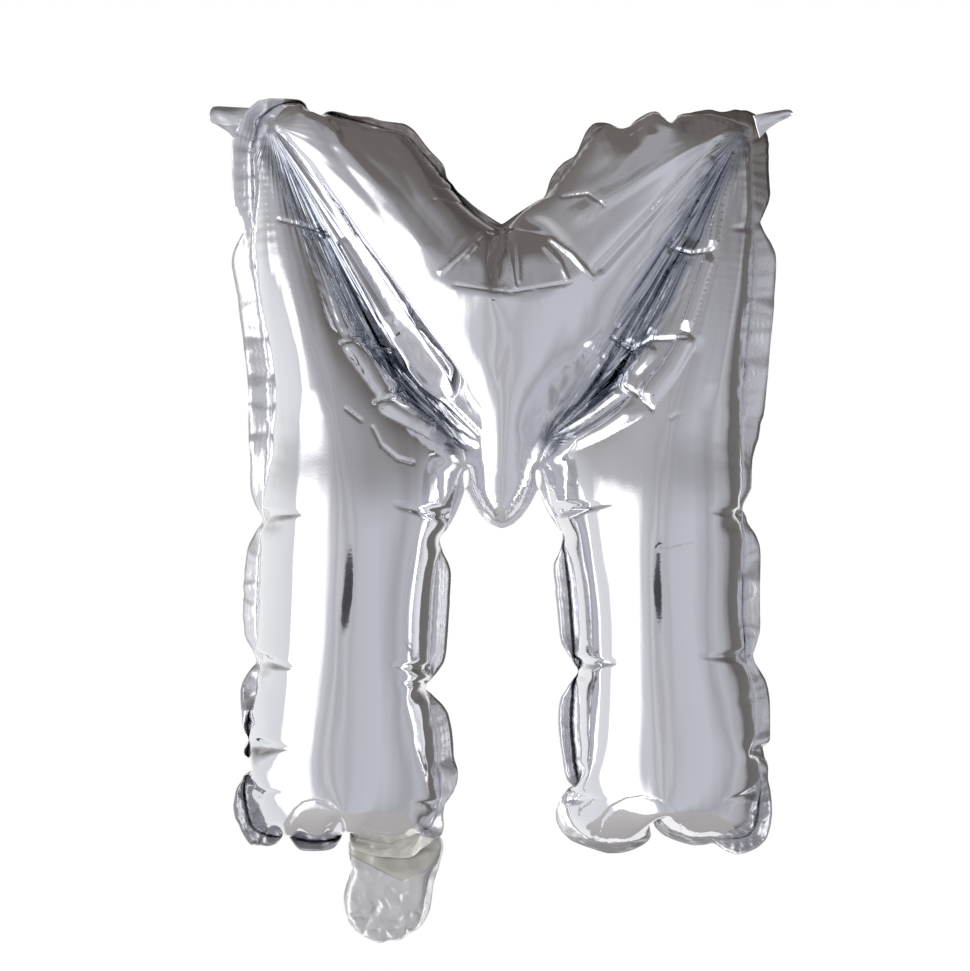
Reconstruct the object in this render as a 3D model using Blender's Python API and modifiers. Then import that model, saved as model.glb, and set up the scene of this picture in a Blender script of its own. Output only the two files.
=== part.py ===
"""A silver letter M foil balloon, blown up and hanging from its two top tabs.

Two foil sheets are welded together along a border that runs round the whole letter. Each sheet is
modelled as its own inflated shell, and the welded border as the flat band that both shells sit on.
The inflation tail hangs from the foot of one leg, with the valve film between its two foil layers,
and a hanging tab stands out at each top corner. The tail and the tabs bend about their roots.

The letter's face looks along -Y, +X is to the reader's right and +Z is up. The origin is midway
between the two hanging tabs, on the line of the ribbon that carries the balloon.
"""

import math

import bmesh
import bpy
from mathutils import Vector

MM = 0.001

# Heights of the letter's seam line, where the inflated part meets the welded border.
SHOULDER_Z = 2 * MM
FOOT_Z = -319 * MM
CROTCH_Z = -154 * MM
TIP_Z = -175 * MM
NOTCH_Z = -52 * MM

# Distances of the seam line from the letter's middle.
LEG_OUTER_X = 111 * MM
LEG_INNER_X = 30 * MM
CROTCH_X = 18 * MM
CORNER_X = 107 * MM

# Heights of the puckers that pinch a leg in at both of its sides, and how deep they bite.
PUCKERS_Z = (-283 * MM, -246 * MM, -179 * MM)
PUCKER_BITE = 3.5 * MM

# How far each sheet stands out of the letter's middle plane.
LEG_BULGE = 36 * MM
MIDDLE_BULGE = 39 * MM
MIDDLE_SKEW = 1.9
VALLEY_SHARE = 0.42
FOOT_ROUNDING = 42 * MM

# Sheet thicknesses, greater than the real foil's so that the sheets hold as solids.
FOIL = 1.2 * MM
BORDER = 1.2 * MM
GAP = 0.3 * MM
SHEET_Y = BORDER / 2 + GAP

# The welded border: how far it runs outside the seam line, and how far under the sheets.
BORDER_WIDTH = 7 * MM
BORDER_LOBE = 3 * MM
FOOT_BORDER = 10.5 * MM
BORDER_LAP = 2.5 * MM

# The inflation tail under the foot of the leg at the reader's left.
TAIL_X = -51 * MM
TAIL_WIDTH = 39 * MM
TAIL_LENGTH = 41 * MM
TAIL_BULGE = 3.5 * MM
TAIL_FOIL = 0.8 * MM
TAIL_TOP = 5 * MM
TAIL_LIP = 5 * MM
TAIL_WELD = 3 * MM

# The hanging tabs, which stand out sideways from the ear at each top corner of the border.
EAR_X = 117.5 * MM
EAR_HALF_HEIGHT = 6 * MM
TAB_WIDTH = 10 * MM
LEFT_TAB_LENGTH = 15.5 * MM
RIGHT_TAB_LENGTH = 11.5 * MM

# The tail's and the tabs' film, and the round bead along each one's bending line.
FILM = 1.2 * MM
BEAD_RADIUS = 0.7 * MM
BEND_OFFSET = BEAD_RADIUS + GAP

LEG_COLUMNS = (0.0, 0.07, 0.25, 0.5, 0.75, 0.93, 1.0)
MIDDLE_COLUMNS = (0.16, 0.36, 0.6, 0.82, 1.0)
UPPER_ROWS = (0.0, 0.06, 0.22, 0.45, 0.68, 0.86, 0.96, 1.0)


def pinched(side_x, bite):
    """Rising points of a leg's side that is drawn in by bite at each pucker and full between them."""
    line = []
    for low, high in zip(PUCKERS_Z, PUCKERS_Z[1:]):
        line += [(side_x + bite, low), (side_x, (low + high) / 2)]
    return line + [(side_x + bite, PUCKERS_Z[-1])]


def outer_side_below():
    """The outer side of a leg's seam line, from the foot up to the height of the crotch."""
    foot = [(LEG_OUTER_X + 3 * MM, FOOT_Z), (LEG_OUTER_X + 3 * MM, -300 * MM)]
    return foot + pinched(LEG_OUTER_X, -PUCKER_BITE) + [(LEG_OUTER_X, CROTCH_Z)]


def outer_side_above():
    """The outer side of a leg's seam line, from the height of the crotch up to the corner."""
    shoulder = [(LEG_OUTER_X, -60 * MM), (CORNER_X + 2 * MM, -20 * MM)]
    return [(LEG_OUTER_X, CROTCH_Z)] + shoulder + [(CORNER_X, SHOULDER_Z - 5 * MM)]


def inner_side():
    """The inner side of a leg's seam line, from the foot up to the crotch."""
    foot = [(LEG_INNER_X + 4 * MM, FOOT_Z), (LEG_INNER_X, -300 * MM)]
    return foot + pinched(LEG_INNER_X, PUCKER_BITE) + [(CROTCH_X, CROTCH_Z)]


def valley():
    """The crease between a leg and the middle of the letter, from the crotch up to the shoulder."""
    creased = [(43 * MM, -126 * MM), (60 * MM, -104 * MM), (78 * MM, -68 * MM), (90 * MM, -36 * MM)]
    return [(CROTCH_X, CROTCH_Z)] + creased + [(98 * MM, SHOULDER_Z)]


def middle_lower_edge():
    """The seam line under the middle of the letter, from the crotch to its lowest point."""
    return [(CROTCH_X, CROTCH_Z), (8 * MM, TIP_Z + 5 * MM), (0.0, TIP_Z)]


def middle_upper_edge():
    """The seam line over the middle of the letter, from the shoulder to the notch."""
    slope = [(70 * MM, 0.0), (48 * MM, -9 * MM), (34 * MM, -22 * MM), (20 * MM, -38 * MM)]
    return [(98 * MM, SHOULDER_Z)] + slope + [(9 * MM, NOTCH_Z + 4 * MM), (0.0, NOTCH_Z)]


def along(line, share):
    """The point at a share of a line's length, the line running straight between its points."""
    points = [Vector(p) for p in line]
    left = share * length_of(line)
    for a, b in zip(points, points[1:]):
        step = (b - a).length
        if left <= step:
            return a.lerp(b, left / step)
        left -= step
    return points[-1]


def length_of(line):
    """The length of a line that runs straight between its points."""
    return sum((Vector(b) - Vector(a)).length for a, b in zip(line, line[1:]))


def at_height(line, height):
    """How far out a rising line is at a height."""
    for (low_x, low), (high_x, high) in zip(line, line[1:]):
        if height <= high:
            return low_x + (height - low) / (high - low) * (high_x - low_x)
    return line[-1][0]


def round_profile(share):
    """Height of a half circle of height 1 over a base that share runs along from 0 to 1."""
    return math.sqrt(max(0.0, 1 - (2 * share - 1) ** 2))


def leg_rows():
    """Cage points of a leg under the crotch, a row of (x, depth, z) for each height."""
    between = [(low + high) / 2 for low, high in zip(PUCKERS_Z, PUCKERS_Z[1:])]
    heights = [FOOT_Z, FOOT_Z + 4 * MM, FOOT_Z + 16 * MM, *PUCKERS_Z, *between]
    rows = []
    for z in sorted(heights):
        outer, inner = at_height(outer_side_below(), z), at_height(inner_side(), z)
        foot = 1 - min(1.0, (z - FOOT_Z) / FOOT_ROUNDING)
        drawn_in = 0.94 if z in PUCKERS_Z else 1.0
        depth = LEG_BULGE * math.sqrt(1 - foot**2) * drawn_in
        columns = [(outer + c * (inner - outer), depth * round_profile(c), z) for c in LEG_COLUMNS]
        rows.append(columns)
    return rows


def upper_rows():
    """Cage points above the crotch, each row a leg's columns and then the middle's."""
    full_width = LEG_OUTER_X - CROTCH_X
    rows = []
    for r in UPPER_ROWS:
        outer, crease = along(outer_side_above(), r), along(valley(), r)
        narrow = (outer - crease).length / full_width
        ridge = LEG_BULGE * narrow**0.6 * math.sqrt(1 - r**6)
        crest = MIDDLE_BULGE * round_profile(r**MIDDLE_SKEW)
        row = []
        for c in LEG_COLUMNS:
            x, z = outer.lerp(crease, c)
            row.append((x, ridge * round_profile(c) + VALLEY_SHARE * crest * c * c, z))
        for e in MIDDLE_COLUMNS:
            x, z = middle_point(e, r)
            swell = VALLEY_SHARE + (1 - VALLEY_SHARE) * math.sin(e * math.pi / 2) ** 0.6
            row.append((x, crest * swell, z))
        rows.append(row)
    return rows


def middle_point(e, r):
    """A point of the Coons patch between the valley, the middle line and the two edges."""
    lower, upper = middle_lower_edge(), middle_upper_edge()
    low, high = Vector(lower[-1]), Vector(upper[-1])
    crotch, shoulder = Vector(lower[0]), Vector(upper[0])
    up = along(lower, e).lerp(along(upper, e), r)
    across = along(valley(), r).lerp(low.lerp(high, r), e)
    return up + across - crotch.lerp(low, e).lerp(shoulder.lerp(high, e), r)


def inflated_sheet(name, side, material):
    """One foil sheet, blown out of the middle plane: side -1 is the front and +1 is the back."""
    rows = leg_rows() + upper_rows()
    sheet = add_object(name, grid_mesh(name, rows, side, SHEET_Y), material)
    mirror = sheet.modifiers.new("other half", "MIRROR")
    mirror.use_clip = True
    mirror.merge_threshold = 0.01 * MM
    round_and_thicken(sheet, FOIL)
    return sheet


def grid_mesh(name, rows, side, lift):
    """A mesh over rows of (x, depth, z), each column meeting the next row's, facing away from Y 0."""
    bm = bmesh.new()
    grid = [[bm.verts.new((x, side * (lift + depth), z)) for x, depth, z in row] for row in rows]
    for lower, upper in zip(grid, grid[1:]):
        for i in range(min(len(lower), len(upper)) - 1):
            bm.faces.new((lower[i], lower[i + 1], upper[i + 1], upper[i]))
    bm.normal_update()
    if sum(face.normal.y * face.calc_area() for face in bm.faces) * side < 0:
        bmesh.ops.reverse_faces(bm, faces=bm.faces)
    mesh = bpy.data.meshes.new(name)
    bm.to_mesh(mesh)
    bm.free()
    mesh.shade_smooth()
    return mesh


def round_and_thicken(sheet, thickness):
    """Rounds a cage off once and gives it a wall outside the cage's own surface."""
    rounding = sheet.modifiers.new("rounding", "SUBSURF")
    rounding.levels = rounding.render_levels = 1
    wall = sheet.modifiers.new("foil", "SOLIDIFY")
    wall.thickness = thickness
    wall.offset = 1


def offset_line(line, width_at, spacing):
    """A line's points at an even spacing, each moved to its left by width_at(distance, point)."""
    total = length_of(line)
    count = round(total / spacing)
    points = [along(line, i / count) for i in range(count + 1)]
    moved = []
    for i, point in enumerate(points):
        run = (points[min(i + 1, count)] - points[max(i - 1, 0)]).normalized()
        moved.append(point + Vector((-run.y, run.x)) * width_at(i * total / count, point))
    return moved


def lobed_width(distance, point):
    """The border's width at a place on the seam line: full lobes between narrow puckers."""
    return BORDER_WIDTH - BORDER_LOBE * (1 - abs(math.sin(math.pi * distance / (32 * MM))))


def border_outline():
    """Half of the border's outer edge, from the notch round a leg to the middle's lowest point."""
    top = offset_line(middle_upper_edge()[::-1], lobed_width, 4 * MM)
    top = [Vector((0.0, NOTCH_Z + BORDER_WIDTH))] + [p for p in top if 4 * MM < p.x < 101 * MM]
    ear_top = [(106 * MM, 9.5 * MM), (113 * MM, 9 * MM)]
    ear = [(EAR_X, EAR_HALF_HEIGHT), (EAR_X, -EAR_HALF_HEIGHT)]
    outer = outer_side_above()[::-1] + outer_side_below()[-2::-1]
    side = offset_line(outer, lobed_width, 4 * MM)
    side = [p for p in side if FOOT_Z < p.y < -EAR_HALF_HEIGHT - 6 * MM]
    foot_x = LEG_INNER_X - 2 * MM
    foot_z = FOOT_Z - FOOT_BORDER
    foot = [(118 * MM, foot_z + 3 * MM), (114 * MM, foot_z), (foot_x + 3 * MM, foot_z)]
    foot += [(foot_x, foot_z + 3 * MM)]
    gap_side = offset_line(inner_side(), lobed_width, 4 * MM)
    gap_side = [p for p in gap_side if FOOT_Z < p.y < -188 * MM]
    gap_top = [(21 * MM, -180 * MM), (14.5 * MM, -170.5 * MM), (11 * MM, -173 * MM)]
    tip = [(6 * MM, TIP_Z - 5.5 * MM), (0.0, TIP_Z - BORDER_WIDTH)]
    return top + ear_top + ear + side + foot + gap_side + gap_top + tip


def border_hole():
    """Half of the border's inner edge, which runs under the sheets all the way round."""
    lap = offset_line(middle_upper_edge()[::-1], lambda distance, point: -BORDER_LAP, 6 * MM)
    lap[0] = Vector((0.0, NOTCH_Z - BORDER_LAP))
    corner = [(CORNER_X - 3 * MM, SHOULDER_Z - 5 * MM)]
    outer = outer_side_above()[::-1] + outer_side_below()[-2::-1]
    side = offset_line(outer, lambda distance, point: -BORDER_LAP, 6 * MM)[1:]
    side = [p for p in side if p.y > FOOT_Z + BORDER_LAP]
    foot = [(LEG_OUTER_X, FOOT_Z + BORDER_LAP), (LEG_INNER_X + 7 * MM, FOOT_Z + BORDER_LAP)]
    rest = inner_side() + middle_lower_edge()[1:]
    gap = offset_line(rest, lambda distance, point: -BORDER_LAP, 6 * MM)
    gap = [p for p in gap if p.y > FOOT_Z + 2 * BORDER_LAP]
    gap[-1] = Vector((0.0, TIP_Z + BORDER_LAP))
    return lap[:-1] + corner + side + foot + gap


def add_loop(curve, loop):
    """Adds a closed outline of (x, y) points to a flat curve."""
    spline = curve.splines.new("POLY")
    spline.points.add(len(loop) - 1)
    for point, (x, y) in zip(spline.points, loop):
        point.co = (x, y, 0.0, 1.0)
    spline.use_cyclic_u = True


def flat_curve(name, thickness):
    """An empty flat curve whose filled outlines come out thickness thick."""
    curve = bpy.data.curves.new(name, "CURVE")
    curve.dimensions = "2D"
    curve.fill_mode = "BOTH"
    curve.extrude = thickness / 2
    return curve


def welded_border(material):
    """The flat band where both foil sheets are welded together, with its lobed outer edge."""
    curve = flat_curve("seam_border", BORDER)
    for half in (border_outline(), border_hole()):
        mirrored = [(-x, z) for x, z in half[-2:0:-1]]
        add_loop(curve, [*half, *mirrored])
    border = add_object("seam_border", curve, material)
    border.rotation_euler.x = math.pi / 2
    return border


def tongue_half_width(width, length, height):
    """Half of a tongue's width at a height: a little waist at the root 0, a round end at -length."""
    waist = 0.92 + 0.08 * min(1.0, -height / (0.3 * length))
    rounding = 0.3 * width
    into_end = max(0.0, (rounding - length - height) / rounding)
    return width / 2 * waist * (1 - into_end**3) ** 0.5


def bent_tongue(name, width, length, root, turn, material):
    """A flat tongue with a round bead along its root, which is the line that it bends about."""
    steps = 14
    shares = [1 - (1 - i / steps) ** 1.8 for i in range(steps)]
    right = [(tongue_half_width(width, length, -s * length), -s * length) for s in shares]
    outline = right + [(0.0, -length)] + [(-x, z) for x, z in right[::-1]]
    curve = flat_curve(name + "_blade", FILM)
    add_loop(curve, outline)
    blade = as_mesh(add_object(name + "_blade", curve, material))
    bead_length = 2 * right[0][0] - 1 * MM
    bpy.ops.mesh.primitive_cylinder_add(vertices=16, radius=BEAD_RADIUS, depth=bead_length)
    bead = bpy.context.object
    bead.rotation_euler.y = math.pi / 2
    join = blade.modifiers.new("bead", "BOOLEAN")
    join.operation = "UNION"
    join.solver = "EXACT"
    join.object = bead
    tongue = as_mesh(blade)
    bpy.data.objects.remove(bead)
    tongue.name = tongue.data.name = name
    tongue.location = root
    tongue.rotation_euler = (math.pi / 2, turn, 0.0)
    return tongue


def as_mesh(obj):
    """Replaces an object by the plain mesh that it evaluates to, with its caps' rims welded."""
    graph = bpy.context.evaluated_depsgraph_get()
    mesh = bpy.data.meshes.new_from_object(obj.evaluated_get(graph))
    bm = bmesh.new()
    bm.from_mesh(mesh)
    bmesh.ops.remove_doubles(bm, verts=bm.verts, dist=0.001 * MM)
    bm.to_mesh(mesh)
    bm.free()
    made = bpy.data.objects.new(obj.name + "_mesh", mesh)
    bpy.data.collections["letter_balloon"].objects.link(made)
    bpy.data.objects.remove(obj)
    return made


def tail_foil(name, side, root, material):
    """One of the tail's two foil layers, puffed out over the valve film between them."""
    rows = []
    for v in (0.0, 0.12, 0.35, 0.62, 0.86, 1.0):
        z = -(TAIL_TOP + v * (TAIL_LENGTH - TAIL_TOP - TAIL_LIP))
        half = tongue_half_width(TAIL_WIDTH, TAIL_LENGTH, z) - TAIL_WELD
        depth = TAIL_BULGE * round_profile(v)
        across = (-1.0, -0.86, -0.5, 0.0, 0.5, 0.86, 1.0)
        rows.append([(u * half, depth * round_profile((u + 1) / 2), z) for u in across])
    foil = add_object(name, grid_mesh(name, rows, side, FILM / 2 + GAP), material)
    foil.location = root
    round_and_thicken(foil, TAIL_FOIL)
    return foil


def add_object(name, data, material):
    """Puts a new object into the balloon's collection and gives it its material."""
    obj = bpy.data.objects.new(name, data)
    data.materials.append(material)
    bpy.data.collections["letter_balloon"].objects.link(obj)
    return obj


def principled(name, colour, roughness, metallic):
    """A plain material."""
    material = bpy.data.materials.new(name)
    material.use_nodes = True
    shader = material.node_tree.nodes["Principled BSDF"]
    shader.inputs["Base Color"].default_value = (*colour, 1.0)
    shader.inputs["Roughness"].default_value = roughness
    shader.inputs["Metallic"].default_value = metallic
    return material


def silver_foil(name):
    """Mirror-bright metallised film."""
    return principled(name, (0.8, 0.8, 0.83), 0.12, 1.0)


def milky_film(name):
    """The unmetallised plastic film of the valve."""
    return principled(name, (0.75, 0.76, 0.78), 0.25, 0.0)


def empty_scene():
    """Clears the startup scene and adds the balloon's collection."""
    for obj in list(bpy.data.objects):
        bpy.data.objects.remove(obj)
    collection = bpy.data.collections.new("letter_balloon")
    bpy.context.scene.collection.children.link(collection)


def main():
    empty_scene()
    inflated_sheet("front_panel", -1, silver_foil("front_foil"))
    inflated_sheet("back_panel", 1, silver_foil("back_foil"))
    welded_border(silver_foil("border_foil"))
    tail_root = (TAIL_X, 0.0, FOOT_Z - FOOT_BORDER - BEND_OFFSET)
    film = milky_film("valve_film")
    bent_tongue("tail_valve_film", TAIL_WIDTH, TAIL_LENGTH, tail_root, 0.0, film)
    tail_foil("tail_front_foil", -1, tail_root, silver_foil("tail_front"))
    tail_foil("tail_back_foil", 1, tail_root, silver_foil("tail_back"))
    ear = EAR_X + BEND_OFFSET
    left, right = silver_foil("left_tab"), silver_foil("right_tab")
    quarter = math.pi / 2
    bent_tongue("left_hanging_tab", TAB_WIDTH, LEFT_TAB_LENGTH, (-ear, 0.0, 0.0), quarter, left)
    bent_tongue("right_hanging_tab", TAB_WIDTH, RIGHT_TAB_LENGTH, (ear, 0.0, 0.0), -quarter, right)


main()
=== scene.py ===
import math

import bpy
import numpy as np
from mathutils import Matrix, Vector
from mathutils.geometry import delaunay_2d_cdt


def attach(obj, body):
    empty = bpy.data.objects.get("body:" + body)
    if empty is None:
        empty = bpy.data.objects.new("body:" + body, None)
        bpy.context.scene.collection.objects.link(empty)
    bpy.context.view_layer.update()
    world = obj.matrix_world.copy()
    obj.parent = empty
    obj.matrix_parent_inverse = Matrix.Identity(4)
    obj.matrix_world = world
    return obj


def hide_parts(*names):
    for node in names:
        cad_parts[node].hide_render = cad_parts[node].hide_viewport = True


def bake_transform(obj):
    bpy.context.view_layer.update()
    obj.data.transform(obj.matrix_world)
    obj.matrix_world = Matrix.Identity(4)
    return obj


bl_info = {
    "name": "Letter foil balloon",
    "version": (1, 0, 0),
    "blender": (4, 5, 0),
    "location": "3D View > Sidebar > Balloon",
    "description": "Blows up the foil of a letter balloon from its flat cut and lights it in a small studio",
    "category": "Object",
}

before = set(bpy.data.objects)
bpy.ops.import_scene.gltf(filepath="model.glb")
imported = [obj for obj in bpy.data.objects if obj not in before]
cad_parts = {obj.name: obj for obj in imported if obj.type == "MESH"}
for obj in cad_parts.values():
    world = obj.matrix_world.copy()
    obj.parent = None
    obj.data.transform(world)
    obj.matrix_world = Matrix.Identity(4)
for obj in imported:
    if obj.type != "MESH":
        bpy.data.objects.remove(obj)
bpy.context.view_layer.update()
MM = 0.001

# Flat cut of the letter, right half, along the weld from the notch to the tip of the middle, in millimetres,
# and which of its points is the sharp top corner
LETTER_CUT = (
    (0, -22), (6, -20), (19, -13.5), (36, -3), (54, 6), (74, 11), (100, 12), (120, 9), (131, 2),
    (134.5, -30), (135.5, -70), (135.5, -110), (136, -150), (136.5, -200), (136, -250), (134, -290),
    (130, -323), (118, -335.5), (82, -341), (46, -338), (26, -322), (21.5, -290), (21, -240), (20.5, -205),
    (18.5, -178),
    (18, -164), (17.5, -154), (15, -155), (13.5, -165), (9, -176), (3.5, -182.5), (0, -183.5),
)
TOP_CORNER = 8

# Distance between the film's points, and how stiffly its border and its sheets resist a sharp fold
WELD_SPACING = 4.5
BORDER_STIFF = 0.6
SHEET_STIFF = 0.03

# How near a sheet comes to the middle plane, and how far the weld and the border's edge may stray from it
SHEET_GAP = 0.05
WELD_STRAY = 1
RIM_STRAY = 6

# The border is narrow in the slit beside the middle's tip and along the top, and wider at the sides and low
# inside the legs. A span is its low and high end on the flat cut, and how far each end is softened
SLIT_BORDER = 2.6
SLIT_X = 27
SLIT_TOP_Z = -120
SLIT_LOW_Z = -200
SLIT_FADE = 10
SIDE_BORDER = 3.0
SIDE_X_SPAN = (122, 200, 6)
SIDE_Z_SPAN = (-150, 0, 20)
INNER_BORDER = 1.0
INNER_X = 60
INNER_Z_SPAN = (-325, -200, 20)
TOP_BORDER = 0.4
TOP_X_SPAN = (-200, 122, 8)
TOP_Z_SPAN = (-60, 60, 30)

# The groove between each leg and the middle, on the flat cut, how far apart the sheets stay along it, how
# steeply the foil may rise beside it on the middle's side, and half the width of the tied strip in spacings
GROOVE = ((17, -151), (40, -127), (61, -104), (84, -68), (104, -36), (130, -2))
GROOVE_SHARE = (0.0, 0.15, 0.35, 0.6, 0.85, 1.0)
GROOVE_DEPTH = (5.0, 7.0, 10.0, 11.0, 9.0, 4.0)
GROOVE_SLOPE = 0.65
GROOVE_REACH = 45.0
TIED_WIDTH = 0.65

# How the film's lengths differ from its cut: shorter along the grooves and across the panel under the notch,
# longer across the grooves, along the weld and across the legs. Shares of the length, and widths
GROOVE_TIGHT = 0.04
GROOVE_TIGHT_WIDTH = 7.0
GROOVE_LOOSE = 0.06
GROOVE_LOOSE_WIDTH = 12.0
PANEL_LINE = ((-30.0, -75.0), (30.0, -75.0))
PANEL_TIGHT = 0.06
PANEL_WIDTH = 28.0
WELD_GATHER = 0.015
WELD_GATHER_WIDTH = 12.0
LEG_EASE = 0.05
LEG_X_SPAN = (24, 200, 6)
LEG_Z_SPAN = (-400, -160, 30)

# Places along the weld where the foil is drawn in: x, z, length of the crease to the left, how tight. Then
# how wide it is drawn in and slack, the slack as a share of the tightness, and the border's least share
PUCKERS = (
    (-140, -184, -28, 0.06), (-140, -250, -26, 0.06), (-137, -287, -24, 0.05), (-134, -309, -20, 0.05),
    (-138, -50, -14, 0.06),
    (140, -184, 28, 0.06), (140, -248, 26, 0.06), (135, -309, 22, 0.06), (138, -48, 14, 0.06),
    (-18, -190, 18, 0.06), (-20, -258, 20, 0.06), (-26, -314, 18, 0.05),
    (18, -188, -18, 0.06), (20, -250, -20, 0.06), (26, -311, -18, 0.05),
)
PUCKER_WIDTH = 4.0
PUCKER_LOOSE = 0.6
PUCKER_LOOSE_WIDTH = 7.0
PUCKER_FADE = 0.5
PUCKER_MARGIN = 25
PUCKER_BORDER = 0.12
PUCKER_REACH = 16.0

# Nicks in the border's edge over the right arm and under the legs
NICKS = (
    (22, -12), (41, -1), (60, 7), (88, 12),
    (-104, -338), (-72, -341), (36, -335), (70, -341), (104, -338),
)
NICK_REACH = 9.0

# The drawn-in panel under the notch, in the filled letter, and how much of the flat cut round it is watched
COLLAR_TOP_Z = -51.0
COLLAR_LOW_Z = -73.0
COLLAR_SAG = 4.0
COLLAR_LEFT_X = -7.0
COLLAR_RIGHT_X = 17.0
COLLAR_MIDDLE_Z = -95.0
COLLAR_HEIGHT = 50.0
COLLAR_DEPTH = 36.0
COLLAR_ROUND = 34.0
COLLAR_FREE = 60.0
COLLAR_ZONE = (50, -100)

# The middle's rounded tip on the flat cut: distance down, half width, and how far it stands forward at least
TIP_DOWN = (128.0, 136.0, 142.0, 148.0, 154.0, 160.0, 166.0, 174.0, 180.0, 184.0)
TIP_HALF = (18.0, 18.0, 18.0, 17.0, 16.0, 14.5, 13.0, 10.0, 6.5, 2.0)
TIP_DEPTH = (19.5, 17.0, 15.2, 13.4, 11.8, 10.2, 8.7, 6.6, 4.2, 0.0)

# How far the filled letter hangs to the side of the middle between its tabs
HANGS_ASIDE = -1.8

# Where the filled letter is pushed about, as it hangs: x and z of the place, reach, move in x and z
NUDGES = (
    (108, 8, 24, 0, -7.5), (40, -9, 12, 0, 6.5), (69, -3, 9, 0, 6), (-41, -5, 9, 0, 5), (-16, -20, 12, 0, 7),
    (0, -22, 9, 0, 2), (16, -19, 8, 0, 3), (-88, 0, 11, 0, 5), (-122, 5, 14, 3, -5),
    (-127, -30, 30, 4.5, 0), (125, -25, 35, -5, 0), (-122, -120, 45, 5, 0), (-125, -313, 16, 6, 0),
    (123, -312, 16, -6, 0), (118, -225, 25, -3, 0), (22, -288, 15, 2, 0),
    (-1, -183, 14, 0, 3), (-85, -327, 20, 0, -2),
)

# Steps of blowing up: how many, how hard, how much a point keeps of its motion
LETTER_BLOW = ((450, 0.004, 0.98), (150, 0.001, 0.95))
SMOOTH_ROUNDS = 8

# Where the fine pleats run together, as it hangs: at the top corners and beside the middle's tip. Then how
# wide a bundle of them is along the groove
FAN_POINTS = ((-106.0, -3.5), (106.5, -6.6))
KNOT_POINTS = ((-12.5, -152.2), (17.0, -145.6))
FAN_MIDDLE = 2.0
BUNDLE_SHARE = (0.0, 0.15, 0.45, 0.7, 1.0)
BUNDLE_HALF = (6.0, 9.0, 14.0, 10.0, 8.0)

# Folds of the front, as it hangs: middle line in x and z, half width and height at its two ends.
# First rounded ones, down each groove and round the panel under the notch
LEFT_MIDDLE_FOLDS = (
    (((-89, -53), (-79.5, -77), (-68.5, -100)), (2.0, 3.4), (1.6, 2.2)),
    (((-83.5, -54.5), (-64, -100.5)), (1.5, 1.9), (0.8, 1.0)),
    (((-73.5, -55.5), (-51.5, -93.5)), (1.8, 2.4), (1.0, 1.4)),
)
LEFT_LOW_FOLDS = (
    (((-67.5, -103.5), (-53, -122.5)), (4.6, 5.4), (3.0, 3.2)),
    (((-51.5, -129), (-35.5, -138.5)), (5.2, 4.4), (3.0, 2.6)),
    (((-33, -140.5), (-15, -148)), (4.0, 2.2), (2.4, 1.2)),
    (((-48.5, -114), (-29.5, -133), (-13.5, -144.5)), (2.2, 1.2), (1.0, 0.6)),
    (((-44.5, -111), (-25, -130), (-11, -144)), (2.0, 1.2), (1.2, 0.8)),
    (((-55, -106), (-50.5, -119)), (2.2, 2.2), (-2.0, -2.0)),
)
RIGHT_TOP_FOLDS = (
    (((97.5, -17.5), (86.5, -45), (81, -60)), (2.2, 4.0), (-1.0, -2.2)),
    (((92.5, -18.5), (82.5, -39.5), (75, -57.5)), (1.6, 2.4), (0.8, 1.4)),
    (((101.5, -15.5), (95, -39.5), (91.5, -60)), (1.2, 2.2), (0.6, 1.6)),
)
RIGHT_MIDDLE_FOLDS = (
    (((90.5, -62.5), (84.5, -80.5), (79, -97)), (2.6, 2.8), (1.8, 2.0)),
    (((73, -60), (62.5, -77), (49, -95)), (1.6, 1.8), (1.2, 1.4)),
    (((76, -65.5), (66, -84), (54.5, -103.5)), (2.0, 2.6), (1.2, 1.6)),
    (((82, -64.5), (73, -84), (63.5, -99)), (2.2, 2.6), (0.8, 1.0)),
)
RIGHT_LOW_FOLDS = (
    (((78.5, -102.5), (71.5, -114.5), (63.5, -124.5)), (4.6, 5.2), (2.4, 2.6)),
    (((63.5, -106.5), (55.5, -115.5), (53.5, -121)), (3.4, 3.0), (1.6, 1.6)),
    (((59, -129), (41.5, -140.5), (27, -148)), (5.4, 3.0), (2.6, 1.2)),
    (((51, -122.5), (37, -133), (22, -143)), (2.0, 1.4), (1.2, 0.8)),
    (((46.5, -106), (36, -122.5), (22, -138.5)), (2.0, 1.6), (1.0, 0.8)),
    (((43, -108.5), (31.5, -126), (19, -136.5)), (2.0, 1.6), (1.2, 0.8)),
)
COLLAR_FOLDS = (
    (((0.5, -56.5), (4, -79.5)), (1.2, 1.0), (0.9, 0.7)),
    (((5, -57.5), (5.5, -77)), (1.2, 1.0), (0.8, 0.5)),
    (((18.5, -55.5), (29, -63.5), (38.5, -75)), (1.3, 1.3), (1.0, 0.9)),
    (((16, -59), (23.5, -67), (28, -77)), (1.1, 1.1), (0.7, 0.5)),
    (((-10, -53), (-19, -62.5), (-30, -72.5)), (1.3, 1.3), (0.9, 0.8)),
    (((-12.5, -57.5), (-18, -65.5)), (1.2, 1.2), (1.2, 1.0)),
)
ROUND_FOLDS = (*LEFT_MIDDLE_FOLDS, *LEFT_LOW_FOLDS, *RIGHT_TOP_FOLDS, *RIGHT_MIDDLE_FOLDS,
               *RIGHT_LOW_FOLDS, *COLLAR_FOLDS)

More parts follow.
